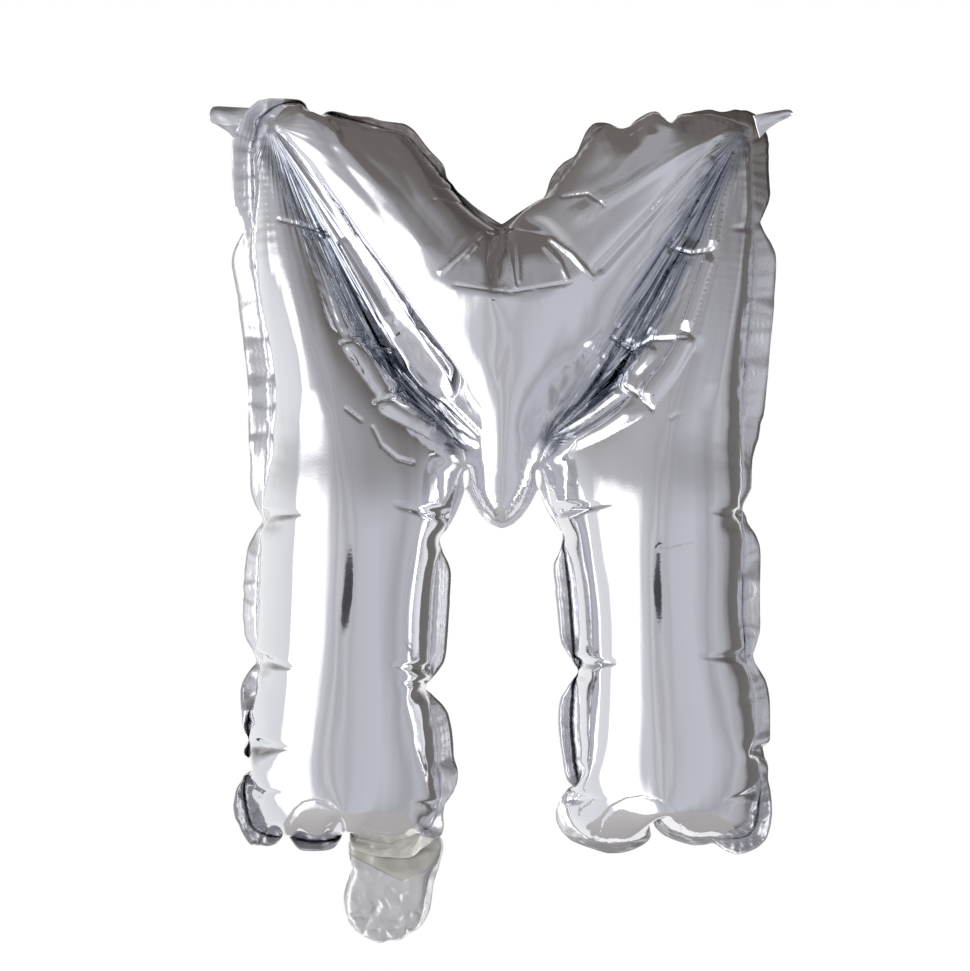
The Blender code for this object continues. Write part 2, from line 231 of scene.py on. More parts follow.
# Then sharp ones: long facets that fan out from the top corners, creases across, and pinches at the weld
FACETS = (
    (((-106, -6), (-100.5, -46.5), (-92, -92.5), (-85.5, -136.5)), (2.0, 9.0), (0.5, 1.0)),
    (((-108, -8), (-108, -84), (-103.5, -154.5)), (2.0, 7.0), (0.3, 0.7)),
    (((-89.5, -51), (-72.5, -100.5)), (3.0, 5.0), (-1.2, -1.6)),
    (((-78.5, -3.5), (-74.5, -13.5), (-51.5, -39.5), (-29.5, -70.5)), (3.0, 9.0), (1.4, 1.4)),
    (((-104, -5), (-89, -22.5), (-67.5, -57), (-45, -91.5), (-22.5, -126)), (2.0, 8.0), (-1.0, -3.4)),
    (((-105, -5), (-93, -24), (-75.5, -58), (-55, -93), (-30, -129)), (2.0, 8.0), (1.0, 3.0)),
    (((-57, -4.5), (-43, -16.5), (-33, -36), (-16, -55)), (7.0, 8.0), (1.2, 1.6)),
    (((97.5, -9.5), (65.5, -44), (38.5, -73)), (2.0, 3.5), (-1.0, -1.8)),
    (((63.5, -9.5), (41.5, -35.5)), (4.0, 7.0), (0.8, 0.8)),
    (((101, -5), (66, -25), (26, -50)), (2.0, 6.0), (0.7, 1.4)),
    (((106.5, -10.5), (107, -46.5), (100.5, -88), (91.5, -132.5)), (2.0, 8.0), (0.5, 1.0)),
    (((104, -12.5), (94, -66), (82, -106)), (2.0, 5.0), (0.5, 0.9)),
    (((108.5, -9), (110.5, -84), (106.5, -159)), (2.0, 6.0), (0.3, 0.7)),
    (((18.5, -84), (6, -119), (0.5, -150)), (12.0, 8.0), (0.7, 0.5)),
)
CROSS_CREASES = (
    (((-102.5, -47), (-90, -49.5), (-77, -54)), (1.1, 1.4), (-0.7, -0.9)),
    (((-74.5, -102), (-64.5, -102), (-48.5, -105)), (1.1, 1.4), (-1.0, -1.2)),
    (((-59.5, -129), (-52, -127), (-46, -121.5)), (1.1, 1.3), (-1.0, -1.2)),
    (((-36.5, -140.5), (-32, -136.5)), (1.0, 1.0), (-0.9, -0.9)),
    (((73, -59), (82, -62), (92.5, -61)), (1.1, 1.4), (-0.8, -0.9)),
    (((46.5, -99), (55.5, -105), (64, -100.5), (81, -100.5)), (1.1, 1.4), (-1.0, -0.9)),
    (((52.5, -121), (59, -126), (65, -133)), (1.1, 1.1), (-1.0, -0.9)),
    (((71.5, -136.5), (76.5, -133)), (0.8, 0.8), (-0.5, -0.4)),
    (((-71.5, -131), (-63, -137.5)), (0.8, 0.8), (-0.6, -0.5)),
    (((-59.5, -138.5), (-55, -147.5), (-48, -153.5), (-40, -155.5)), (1.0, 1.0), (-0.5, -0.8)),
    (((-35.5, -33.5), (-21.5, -32)), (0.8, 0.8), (-0.5, -0.4)),
    (((-33.5, -39.5), (-18.5, -39)), (0.8, 0.8), (-0.6, -0.4)),
    (((23.5, -37), (36, -36), (44, -42.5)), (1.0, 0.8), (-0.7, -0.5)),
    (((-78.5, -2), (-75, -8)), (1.1, 0.8), (-1.0, -0.5)),
    (((55.5, -9.5), (60.5, -6)), (1.3, 0.8), (-0.9, -0.5)),
    (((-24, -77), (1.5, -80.5), (29, -76)), (0.9, 0.9), (-0.7, -0.7)),
    (((-9, -52.5), (4, -51.5), (18.5, -54.5)), (1.1, 1.1), (-0.7, -0.7)),
    (((65.5, -193), (83, -189.5)), (0.8, 0.8), (-0.2, -0.1)),
    (((-97, -321.5), (-96.4, -315), (-93.5, -309.5), (-89.5, -306), (-84.5, -304.8), (-79.5, -306),
      (-75.3, -309.5), (-72.3, -315), (-71.5, -321.5)), (0.9, 0.9), (-0.3, -0.3)),
    (((41.5, -321), (42.6, -314.5), (46.5, -308.5), (53, -304.3), (60, -303), (67, -304.3), (73.5, -308),
      (77.7, -314), (79, -321)), (0.9, 0.9), (-0.3, -0.3)),
)
PINCHES = (
    (((-109.5, -178.5), (-89.5, -177.5)), (4.0, 1.2), (-2.6, -0.2)),
    (((-111.5, -242), (-93, -246)), (4.0, 1.2), (-2.6, -0.2)),
    (((-110.5, -281), (-93, -281.5)), (4.0, 1.2), (-2.4, -0.2)),
    (((-110.5, -303), (-100, -301.5)), (3.0, 1.2), (-1.8, -0.2)),
    (((-26.5, -179), (-48.5, -174)), (4.0, 1.2), (-2.6, -0.2)),
    (((-30, -248.5), (-51.5, -244)), (3.4, 1.2), (-2.6, -0.2)),
    (((-31, -254), (-48, -252.5)), (2.6, 1.0), (-1.4, -0.2)),
    (((-29.5, -309.5), (-41.5, -307)), (3.0, 1.2), (-1.8, -0.2)),
    (((24.5, -176.5), (46.5, -173)), (4.0, 1.2), (-2.4, -0.2)),
    (((30, -245), (52, -242.5)), (4.0, 1.2), (-2.6, -0.2)),
    (((29, -306), (43, -304.5)), (3.0, 1.2), (-1.8, -0.2)),
    (((108.5, -179), (90.5, -176.5)), (4.0, 1.2), (-2.4, -0.2)),
    (((109, -241.5), (85.5, -240.5)), (4.0, 1.2), (-2.4, -0.2)),
    (((111, -303), (97.5, -305)), (3.0, 1.2), (-1.8, -0.2)),
    (((114.5, -49.5), (101, -51)), (3.0, 1.2), (-1.6, -0.2)),
)
SHARP_FOLDS = (*FACETS, *CROSS_CREASES, *PINCHES)

# Cells of the random grid before it repeats, and how many cells it is shifted by
NOISE_CELLS = 97
NOISE_SHIFT = 1000

# Folds narrower than this get finer triangles, some way past their edge
FINE_FOLD = 3.0
FINE_MARGIN = 1.3

# Crimps square to the weld: their spacing, how it wanders, as sizes and lengths, how uneven they are, as a
# cell's two sides and a seed, and how they start and fade
CRIMP_SPACING = 4.1
CRIMP_WANDER = ((0.8, 17.0), (0.5, 7.3))
CRIMP_NOISE = (23, 1, 8)
CRIMP_START = 1.2
CRIMP_FADE = 6.0

# Long shallow dents: their height, then the width and height of one and the seed of the draw. Then how far
# from the weld the dents, all of the relief and the crumpled film reach
DENT_HEIGHT = 0.1
LONG_DENTS = (9, 60, 11)
SLANTED_DENTS = (14, 45, 12)
DENT_FADE = 15
RELIEF_FADE = 2.5
CRUMPLE_FADE = 5.0
BUNDLE_FADE = 0.05

# Flat cut of the tail, clockwise from its left root, its border, and the wider film along its right side
TAIL_CUT = (
    (-71, -330), (-70, -322), (-50, -321), (-32, -321), (-28.5, -325), (-29, -333), (-33, -341), (-35, -350),
    (-37, -359), (-40, -366), (-50, -371.5), (-60, -371), (-67, -367), (-72, -360), (-73.5, -350),
    (-72, -338),
)
TAIL_SPACING = 2.4
TAIL_BORDER = 0.8
TAIL_FILM = 2.4
TAIL_FILM_X_SPAN = (-38, 0, 6)
TAIL_FILM_Z_SPAN = (-368, -336, 8)
TAIL_BLOW = ((260, 0.003, 0.97), (200, 0.0008, 0.95))

# How far the tail's sheets may stand from the middle plane, by the distance down, and how slack its film is
TAIL_DOWN = (326, 333, 339, 350, 360, 372)
TAIL_ROOM = (0.8, 2.6, 4.6, 1.8, 1.3, 0.9)
TAIL_SLACK = 0.06
TAIL_CRUMPLES = ((5.0, 5.0, 21), (2.2, 2.2, 22))
TAIL_SLACK_Z_SPAN = (-400, -352, 14)

# The tail's root stands a little forward, with a small dome on it: x, z, radius and height
TAIL_FORWARD = 1.6
TAIL_FORWARD_Z_SPAN = (-326, 0, 4)
TAIL_DOME = (-58.5, -330.5, 3.0, 1.6)

# Root and tip of each hanging tab's middle line, its upper and lower edge at some shares of its length, how
# far its upper part is rolled, and how it waves and turns. Then two places in metres from the middle, at
# which the tabs are not bent
LEFT_TAB = ((-111.0, 0.0, -0.5), (-133.0, 0.0, 1.4))
RIGHT_TAB = ((112.0, 0.0, -2.5), (128.8, 0.0, 2.4))
TAB_STEPS = (0.0, 0.3, 0.6, 0.85, 0.95, 1.0)
LEFT_TAB_EDGES = ((4.6, 4.4, 4.2, 4.0, 3.6, 2.2), (-19.0, -14.0, -7.5, -4.4, -3.6, -2.2))
RIGHT_TAB_EDGES = ((3.6, 3.2, 2.6, 2.0, 1.4, 0.4), (-7.0, -4.0, -2.4, -1.8, -1.2, -0.2))
LEFT_TAB_CURL = 2.4
RIGHT_TAB_CURL = 1.6
TAB_WAVE = 0.25
TAB_TURN = 1.5
TAB_ROWS = 40
TAB_COLUMNS = 61
TAB_THICKNESS = 0.25
TAB_CRUMPLE = 0.15
TAB_BEND_START = 0.1170
TAB_BEND_END = 0.1205

# Thickness of the border and of the tail's film
BORDER_THICKNESS = 0.2

# Fine pleats in the film, which run together in a point: how far apart they are, as a turn, how steep, and
# how far from the point they fade, in metres. Then streaks: how many a metre across and up, and how high
FACET_TURN = 0.14
FACET_SLOPE = 0.07
FAN_LENGTH = 0.2
PLEAT_TURN = 0.06
PLEAT_SLOPE = 0.55
FINE_TURN = 0.02
FINE_SLOPE = 0.25
KNOT_TURN = 0.13
KNOT_LENGTH = 0.05
STREAKS = (60.0, 5.0, 0.03)

# Textures on the flat cut: how many cells a metre
HAZE_SCALE = 45.0
CREASE_SCALE = 330.0
GRAIN_SCALE = 900.0
BORDER_CLOUD_SCALE = 60.0
BORDER_CREASE_SCALE = 340.0
TAIL_CLOUD_SCALE = 90.0
TAIL_CREASE_SCALE = 110.0
TAIL_FACET_SCALE = 130.0
FLOOR_GRAIN_SCALE = 40.0

# Depth of the finest relief in the film and in the border, in metres, and how much rougher the welded film is
FOIL_DEPTH = 0.0004
BORDER_DEPTH = 0.0003
WELD_ROUGHER = 0.12

# Painted shade: the bundles' tone beside the smooth foil, and the foil's colour where they run together by
# the middle's tip
BUNDLE_PAINTED_SHADE = (0.50, 0.53, 0.58)
KNOT_PAINTED_SHADE = (0.17, 0.185, 0.215)

# The border's colours, by places on the flat cut in metres: a painted brown reflection from a height up and
# from a place to the right, painted grey shade under the legs and low at the outer corners, beige where it
# lies over the tail's root
TOP_PAINTED_REFLECTION = (0.36, 0.33, 0.31)
TOP_REFLECTION_Z = -0.085
TOP_REFLECTION_FADE = 16.0
TOP_REFLECTION_X = -0.118
UNDER_PAINTED_SHADE = (0.42, 0.42, 0.44)
UNDER_SHADE_Z = -0.331
CORNER_SHADE_Z = -0.308
CORNER_SHADE_X = 0.122
POUCH_TINT = (0.66, 0.645, 0.59)
TAIL_X = -0.046
TAIL_HALF = 0.024
PRESSED_LINES = 14.0

# The tail's film has another tone below the pouch's slanted edge: its height at the tail's middle, its slope
POUCH_Z = -0.343
POUCH_SLOPE = 0.5
POUCH_SHARPNESS = 1500.0
TAIL_DEPTH = 0.0012
TAIL_SHADE = (0.2, 0.2, 0.19)

# Looks of the tail's films: colour, colour below that edge, metallic share and roughness
TAIL_FOIL_LOOK = ((0.60, 0.59, 0.53), (0.66, 0.66, 0.67), 0.55, 0.22)
VALVE_FILM_LOOK = ((0.86, 0.86, 0.85), (0.88, 0.88, 0.88), 0.1, 0.18)

# Camera, level, in metres and degrees
CAMERA_X = -0.00945
CAMERA_Z = -0.1654
CAMERA_AWAY = 1.5
CAMERA_ANGLE = 16.56

# The floor, a metre under the tabs
FLOOR_Z = -1000.0 * MM
FLOOR_RADIUS = 0.5
FLOOR_RINGS = 24
FLOOR_SPOKES = 96
FLOOR_GLOW = 0.08

# The lamp at the front left, in metres, what it points along, and its power
LAMP_PLACE = (-1.1, -1.6, 0.4)
LAMP_AIM = (1.1, 1.6, -0.6)
LAMP_SIZE = 0.8
LAMP_POWER = 22.0

# The room as the foil mirrors it. A ring is a compass turn (0 behind the letter, 0.25 left, 0.5 at the front,
# 0.75 right) and a colour there. A rise is a height (0 straight down, 0.5 level, 1 straight up) and a share
ROOM_RING = (
    (0.00, (1.0, 1.0, 1.0)), (0.17, (0.85, 0.86, 0.87)), (0.31, (0.72, 0.73, 0.76)),
    (0.43, (0.66, 0.66, 0.70)), (0.455, (0.60, 0.60, 0.64)), (0.47, (0.48, 0.48, 0.51)),
    (0.48, (0.62, 0.62, 0.65)), (0.49, (0.44, 0.44, 0.46)), (0.505, (0.56, 0.56, 0.60)),
    (0.52, (0.47, 0.47, 0.50)), (0.54, (0.54, 0.54, 0.59)), (0.62, (0.56, 0.57, 0.62)),
    (0.68, (0.40, 0.40, 0.43)), (0.72, (0.50, 0.51, 0.54)), (0.77, (0.40, 0.40, 0.42)),
    (0.81, (0.15, 0.14, 0.14)), (0.90, (0.18, 0.17, 0.165)), (0.93, (0.9, 0.9, 0.9)),
)
SOFTBOX_RING = ((0.0, 0.0), (0.305, 0.0), (0.325, 1.0), (0.395, 1.0), (0.445, 0.0), (1.0, 0.0))
SOFTBOX_RISE = ((0.0, 0.0), (0.16, 0.0), (0.28, 1.0), (0.53, 1.0), (0.59, 0.0), (1.0, 0.0))
CEILING_RISE = ((0.0, 0.0), (0.52, 0.0), (0.60, 0.62), (0.64, 0.76), (0.68, 1.0), (1.0, 1.0))
CEILING_RING = (
    (0.00, (0.15, 0.13, 0.12)), (0.20, (0.20, 0.185, 0.175)), (0.35, (0.34, 0.34, 0.35)),
    (0.50, (0.34, 0.34, 0.36)), (0.60, (0.19, 0.18, 0.175)), (0.72, (0.13, 0.115, 0.11)),
    (0.86, (0.09, 0.08, 0.075)), (1.0, (0.15, 0.13, 0.12)),
)
OVERHEAD_RISE = ((0.0, 0.0), (0.79, 0.0), (0.87, 1.0), (1.0, 1.0))
OVERHEAD_BROWN = (0.155, 0.138, 0.13)

# The dark spot ahead of the letter: its radius, its height and how much wider it is than high
SPOT_SIZE = 0.075
SPOT_RISE = -0.035
SPOT_SLIMNESS = 1.15
SPOT_COLOUR = (0.06, 0.06, 0.07)


class BalloonFoil(bpy.types.PropertyGroup):
    """Sizes and colours of the blown-up letter."""
    border: bpy.props.FloatProperty(
        name="Border", description="Width of the welded border round the letter", default=0.008,
        min=0.002, max=0.012, subtype="DISTANCE", unit="LENGTH")
    pleat: bpy.props.FloatProperty(
        name="Folds", description="Height of all the folds and creases, as a share of the usual", default=1.0,
        min=0.0, max=2.0, subtype="FACTOR")
    crimp: bpy.props.FloatProperty(
        name="Crimp height", description="Height of the short crimps along the weld", default=0.0003,
        min=0.0, max=0.002, subtype="DISTANCE", unit="LENGTH")
    tint: bpy.props.FloatVectorProperty(
        name="Foil colour", description="What the mirror foil throws back", default=(0.89, 0.89, 0.915),
        size=3, min=0.0, max=1.0, subtype="COLOR")
    gloss: bpy.props.FloatProperty(
        name="Foil roughness", description="Roughness of the foil where it is smooth", default=0.06,
        min=0.0, max=0.5, subtype="FACTOR")


class BalloonStudio(bpy.types.PropertyGroup):
    """Light and surroundings of the studio."""
    softbox: bpy.props.FloatProperty(
        name="Softbox", description="Strength of the large light at the front left", default=2.4,
        min=0.0, max=20.0, subtype="FACTOR")
    room: bpy.props.FloatProperty(
        name="Room", description="Brightness of the room behind the camera", default=1.0,
        min=0.0, max=5.0, subtype="FACTOR")
    floor: bpy.props.FloatVectorProperty(
        name="Floor colour", description="Colour of the pale floor", default=(0.9, 0.885, 0.87),
        size=3, min=0.0, max=1.0, subtype="COLOR")


def leg_lengths(line):
    """Length of each leg of a line."""
    return np.linalg.norm(np.diff(line, axis=0), axis=1)


def running_length(line):
    """How far along a line each of its points lies."""
    return np.concatenate(([0.0], np.cumsum(leg_lengths(line))))


def even_points(line, spacing):
    """Points at an even spacing along an open line, by its running length, with both ends kept."""
    line = np.asarray(line, float)
    run = running_length(line)
    at = np.linspace(0.0, run[-1], max(1, round(run[-1] / spacing)) + 1)
    return np.stack([np.interp(at, run, line[:, k]) for k in (0, 1)], axis=1)


def corners_cut(line, rounds=3):
    """An open line with each corner cut off at a quarter of its sides, a few times over; its ends stay."""
    line = np.asarray(line, float)
    for _ in range(rounds if len(line) > 2 else 0):
        near = 0.75 * line[:-1] + 0.25 * line[1:]
        far = 0.25 * line[:-1] + 0.75 * line[1:]
        inner = np.stack([near, far], axis=1).reshape(-1, 2)
        line = np.concatenate([line[:1], inner, line[-1:]])
    return line


def mirrored_outline(half, sharp, spacing):
    """Closed outline from its right half: smooth up to the sharp corner and from there on, then mirrored."""
    first = even_points(corners_cut(half[:sharp + 1]), spacing)[:-1]
    second = even_points(corners_cut(half[sharp:]), spacing)
    right = np.concatenate([first, second])
    return np.concatenate([right, right[-2:0:-1] * (-1, 1)])


def moved_out(loop, distance):
    """Each point of a clockwise loop moved outwards, square to the line through its two neighbours."""
    run = np.roll(loop, -1, axis=0) - np.roll(loop, 1, axis=0)
    run /= np.linalg.norm(run, axis=1, keepdims=True)
    return loop + np.stack([-run[:, 1], run[:, 0]], axis=1) * distance


def is_inside(points, loop):
    """Which points lie in a closed loop: a ray to the left crosses it an odd number of times."""
    x, y = points[:, 0][:, None], points[:, 1][:, None]
    a, b = loop, np.roll(loop, -1, axis=0)
    crosses = (a[:, 1] > y) != (b[:, 1] > y)
    rise = np.where(b[:, 1] == a[:, 1], 1, b[:, 1] - a[:, 1])
    at = a[:, 0] + (y - a[:, 1]) / rise * (b[:, 0] - a[:, 0])
    return (crosses & (x < at)).sum(axis=1) % 2 == 1


def beside_line(points, line):
    """Distance to an open line, share of its length at the nearest point, signed distance to its left."""
    line = np.asarray(line, float)
    a, run = line[:-1], np.diff(line, axis=0)
    size, before = leg_lengths(line), running_length(line)
    out = []
    for part in np.array_split(points, max(1, len(points) // 4000)):
        away = part[:, None] - a
        t = np.clip((away * run).sum(-1) / size ** 2, 0, 1)
        gap = np.linalg.norm(away - t[..., None] * run, axis=-1)
        best = gap.argmin(axis=1)
        rows = np.arange(len(part))
        side = run[best, 0] * away[rows, best, 1] - run[best, 1] * away[rows, best, 0]
        share = (before[best] + t[rows, best] * size[best]) / before[-1]
        out.append(np.stack([gap[rows, best], share, np.copysign(gap[rows, best], side)], axis=1))
    return np.concatenate(out).T


def closed(loop):
    """A closed loop as a line that ends where it starts."""
    return np.concatenate([loop, loop[:1]])


class Foil:
    """Two sheets and a border: flat points, points in space, triangles and the part that each belongs to
    (0 front, 1 back, 2 border), and which points lie on the weld and on the border's edge."""

    def __init__(self, flat, place, tris, part, weld, rim):
        self.flat, self.place, self.tris, self.part, self.weld, self.rim = flat, place, tris, part, weld, rim

    def of(self, part, but_weld=True):
        """Marks the points of one part, without those of the weld."""
        mark = np.zeros(len(self.flat), bool)
        mark[self.tris[self.part == part]] = True
        return mark & ~self.weld if but_weld else mark

    def sheets(self):
        """Marks the points of both sheets, without those of the weld."""
        return self.of(0) | self.of(1)


def flat_foil(outline, border, spacing, seed):
    """Two sheets over a hexagonal grid inside the outline, and the border as a strip between two loops."""
    outer = moved_out(outline, border[:, None])
    low, high = outline.min(axis=0) - spacing, outline.max(axis=0) + spacing
    across = np.arange(low[0], high[0], spacing)
    up = np.arange(low[1], high[1], spacing * math.sqrt(3) / 2)
    x, z = np.meshgrid(across, up)
    x = x + (np.arange(len(up)) % 2)[:, None] * spacing / 2
    grid = np.stack([x.ravel(), z.ravel()], axis=1)
    grid = grid[is_inside(grid, outline)]
    grid = grid[beside_line(grid, closed(outline))[0] > 0.55 * spacing]
    count = len(outline)
    ring = np.stack([np.arange(count), (np.arange(count) + 1) % count], axis=1)
    points = np.concatenate([outline, outer, grid])
    made = delaunay_2d_cdt(points.tolist(), np.concatenate([ring, ring + count]).tolist(), [], 0, 1e-6)
    flat, tris = np.array(made[0]), np.array(made[2])
    a, b, c = flat[tris].transpose(1, 0, 2)
    turn = (b[:, 0] - a[:, 0]) * (c[:, 1] - a[:, 1]) - (b[:, 1] - a[:, 1]) * (c[:, 0] - a[:, 0])
    tris = np.where((turn > 0)[:, None], tris, tris[:, ::-1])
    centre = flat[tris].mean(axis=1)
    sheet = tris[is_inside(centre, outline)]
    strip = tris[is_inside(centre, outer) & ~is_inside(centre, outline)]
    inner = np.unique(sheet)
    inner = inner[inner >= count]
    twin = np.arange(len(flat))
    twin[inner] = len(flat) + np.arange(len(inner))
    flat = np.concatenate([flat, flat[inner]])
    tris = np.concatenate([sheet, twin[sheet][:, ::-1], strip])
    part = np.repeat([0, 1, 2], [len(sheet), len(sheet), len(strip)])
    used, tris = np.unique(tris, return_inverse=True)
    flat, tris = flat[used], tris.reshape(-1, 3)
    weld, rim = used < count, (used >= count) & (used < 2 * count)
    foil = Foil(flat, np.zeros((len(flat), 3)), tris, part, weld, rim)
    start = 0.5 * (foil.of(1).astype(float) - foil.of(0))
    start += np.random.default_rng(seed).normal(0, 0.05, len(flat))
    foil.place = np.stack([flat[:, 0], start, flat[:, 1]], axis=1)
    return foil


def edges_of(tris):
    """The edges, how many triangles share each, and the corners that face it in the first and the last."""
    pairs = np.sort(np.concatenate([tris[:, [0, 1]], tris[:, [1, 2]], tris[:, [2, 0]]]), axis=1)
    facing = np.concatenate([tris[:, 2], tris[:, 0], tris[:, 1]])
    key = pairs[:, 0].astype(np.int64) * (tris.max() + 1) + pairs[:, 1]
    order = np.argsort(key, kind="stable")
    _, first, count = np.unique(key[order], return_index=True, return_counts=True)
    pairs, facing = pairs[order], facing[order]
    return pairs[first], count, np.stack([facing[first], facing[first + count - 1]], axis=1)


def split_where(foil, chosen):
    """Each triangle in one to four, by how many of its edges are chosen, so that all edges still meet."""
    edges, _, _ = edges_of(foil.tris)
    size = len(foil.flat)
    key = edges[:, 0].astype(np.int64) * size + edges[:, 1]
    middle = np.where(chosen, size + np.cumsum(chosen) - 1, -1)

    def middle_of(one, two):
        wanted = np.minimum(one, two).astype(np.int64) * size + np.maximum(one, two)
        return middle[np.searchsorted(key, wanted)]

    out, part = [], []
    tris, kind = foil.tris, foil.part
    for first in range(3):
        a, b, c = np.roll(tris, -first, axis=1).T
        ab, bc, ca = middle_of(a, b), middle_of(b, c), middle_of(c, a)
        cases = [((ab >= 0) & (bc < 0) & (ca < 0), ((a, ab, c), (ab, b, c))),
                 ((ab >= 0) & (bc >= 0) & (ca < 0), ((ab, b, bc), (a, ab, bc), (a, bc, c)))]
        if first == 0:
            cases.append(((ab < 0) & (bc < 0) & (ca < 0), ((a, b, c),)))
            cases.append(((ab >= 0) & (bc >= 0) & (ca >= 0),
                          ((a, ab, ca), (ab, b, bc), (ca, bc, c), (ab, bc, ca))))
        for case, pieces in cases:
            for corners in pieces:
                out.append(np.stack([corner[case] for corner in corners], axis=1))
                part.append(kind[case])
    two = edges[chosen]
    flat = np.concatenate([foil.flat, foil.flat[two].mean(axis=1)])
    place = np.concatenate([foil.place, foil.place[two].mean(axis=1)])
    weld = np.concatenate([foil.weld, np.zeros(len(two), bool)])
    rim = np.concatenate([foil.rim, np.zeros(len(two), bool)])
    return Foil(flat, place, np.concatenate(out), np.concatenate(part), weld, rim)


def finer(foil, smooth=False):
    """Each triangle in four. Smooth also rounds the surface by Loop's rule, with the weld and the border's
    edge as lines."""
    edges, count, facing = edges_of(foil.tris)
    out = split_where(foil, np.ones(len(edges), bool))
    old, size = foil.place, len(foil.place)
    out.weld[size:] = count == 3
    out.rim[size:] = count == 1
    if smooth:
        plain = count == 2
        beyond = 0.125 * (old[facing[plain, 0]] + old[facing[plain, 1]])
        out.place[size:][plain] = 0.75 * out.place[size:][plain] + beyond
        around = neighbour_sum(old, edges)
        valence = np.bincount(edges.ravel(), minlength=size)[:, None]
        share = np.where(valence == 3, 3 / 16, 3 / (8 * np.maximum(valence, 3)))
        place = old * (1 - share * valence) + around * share
        line = edges[~plain]
        on_line = np.bincount(line.ravel(), minlength=size)
        beside = neighbour_sum(old, line)
        two_sided = on_line == 2
        place[two_sided] = 0.75 * old[two_sided] + 0.125 * beside[two_sided]
        place[(on_line > 0) & ~two_sided] = old[(on_line > 0) & ~two_sided]
        out.place[:size] = place
    return out


def neighbour_sum(values, edges):
    """For each point, the sum of what its neighbours along the edges hold."""
    both = np.concatenate([edges, edges[:, ::-1]])
    sums = [np.bincount(both[:, 0], values[both[:, 1], k], len(values)) for k in range(values.shape[1])]
    return np.stack(sums, axis=1)


def groups_apart(pairs, count, seed=1):
    """Splits pairs into groups in which no point comes twice, by drawing lots a few times for each group."""
    rng = np.random.default_rng(seed)
    left = np.arange(len(pairs))
    groups = []
    while len(left):
        taken = np.zeros(count, bool)
        group, pool = [], left
        for _ in range(3):
            lot = rng.permutation(len(pool))
            best = np.full(count, len(pool))
            np.minimum.at(best, pairs[pool, 0], lot)
            np.minimum.at(best, pairs[pool, 1], lot)
            wins = (best[pairs[pool, 0]] == lot) & (best[pairs[pool, 1]] == lot)
            group.append(pool[wins])
            taken[pairs[pool[wins]]] = True
            pool = pool[~wins]
            pool = pool[~(taken[pairs[pool, 0]] | taken[pairs[pool, 1]])]
        groups.append(np.concatenate(group))
        left = np.setdiff1d(left, groups[-1])
    return groups


def grouped(pairs, lengths, count):
    """The two points and the length of each pair, in groups in which no point comes twice."""
    return [(pairs[g, 0], pairs[g, 1], lengths[g]) for g in groups_apart(pairs, count)]


def normals_of(place, tris, count):
    """Sum of twice the area times the normal of the triangles round each point."""
    a, b, c = place[tris.T]
    normal = np.cross(b - a, c - a)
    return np.stack([np.bincount(tris.ravel(), np.repeat(normal[:, k], 3), count) for k in range(3)], axis=1)


def draw_together(place, groups, share, only_apart):
    """Moves both points of each pair along their line, until they are at their length again."""
    for one, two, length in groups:
        gap = place[one] - place[two]
        size = np.sqrt(np.einsum("ij,ij->i", gap, gap)) + 1e-9
        over = size - length
        if only_apart:
            over = np.minimum(over, 0)
        gap *= (0.5 * share * over / size)[:, None]
        place[one] -= gap
        place[two] += gap


def blow_up(foil, lengths_of, hold, steps, push, keep):
    """Air pushes each sheet point along its normal. The film keeps its lengths and resists sharp folds."""
    count = len(foil.flat)
    edges, shared, facing = edges_of(foil.tris)
    lengths = lengths_of(foil.flat, edges)
    fold = facing[shared == 2]
    front, back = foil.of(0), foil.of(1)
    across = (front[fold[:, 0]] & back[fold[:, 1]]) | (back[fold[:, 0]] & front[fold[:, 1]])
    fold = fold[~across]
    span = np.linalg.norm(foil.flat[fold[:, 0]] - foil.flat[fold[:, 1]], axis=1)
    fold, span = fold[span > 1e-6], span[span > 1e-6]
    border = foil.of(2, but_weld=False)
    border = border[fold[:, 0]] & border[fold[:, 1]]
    ties = grouped(edges, lengths, count)
    sheet_folds = grouped(fold[~border], span[~border], count)
    border_folds = grouped(fold[border], span[border], count)
    sheets = foil.tris[foil.part < 2]
    place = foil.place
    old = place.copy()
    area = np.linalg.norm(np.cross(*np.diff(place[sheets], axis=1).transpose(1, 0, 2)), axis=1).mean()
    for _ in range(steps):
        force = normals_of(place, sheets, count) * (push / (3 * area))
        place, old = place + (place - old) * keep + force, place
        draw_together(place, ties, 1.0, False)
        draw_together(place, sheet_folds, SHEET_STIFF, True)
        draw_together(place, border_folds, BORDER_STIFF, True)
        place[front, 1] = np.minimum(place[front, 1], -SHEET_GAP)
        place[back, 1] = np.maximum(place[back, 1], SHEET_GAP)
        place[foil.weld, 1] = np.clip(place[foil.weld, 1], -WELD_STRAY, WELD_STRAY)
        place[foil.rim, 1] = np.clip(place[foil.rim, 1], -RIM_STRAY, RIM_STRAY)
        hold(place)
    foil.place = place


def between(x, low, high, soft):
    """1 between low and high and 0 outside, with soft ends."""
    up = np.clip((x - low) / soft + 0.5, 0, 1)
    down = np.clip((high - x) / soft + 0.5, 0, 1)
    return up * up * (3 - 2 * up) * down * down * (3 - 2 * down)


def both_sides(line):
    """A line of the flat cut and its mirror image."""
    line = np.asarray(line, float)
    return line, line * (-1, 1)


def drawn_in(middle, run, line, tight, width, loose, spread, fade):
    """Length factor beside a line: shorter along it, and longer across it so that pleats form."""
    gap, share, _ = beside_line(middle, line)
    leg = np.clip((share * (len(line) - 1)).astype(int), 0, len(line) - 2)
    along = np.diff(line, axis=0)[leg]
    along /= np.linalg.norm(along, axis=1, keepdims=True)
    with_it = (along * run).sum(axis=1) ** 2
    end = np.clip((1 - share) / fade, 0, 1) if fade else 1.0
    shorter = tight * np.exp(-(gap / width) ** 2) * with_it * end
    return 1 - shorter + loose * np.exp(-(gap / spread) ** 2) * (1 - with_it) * end


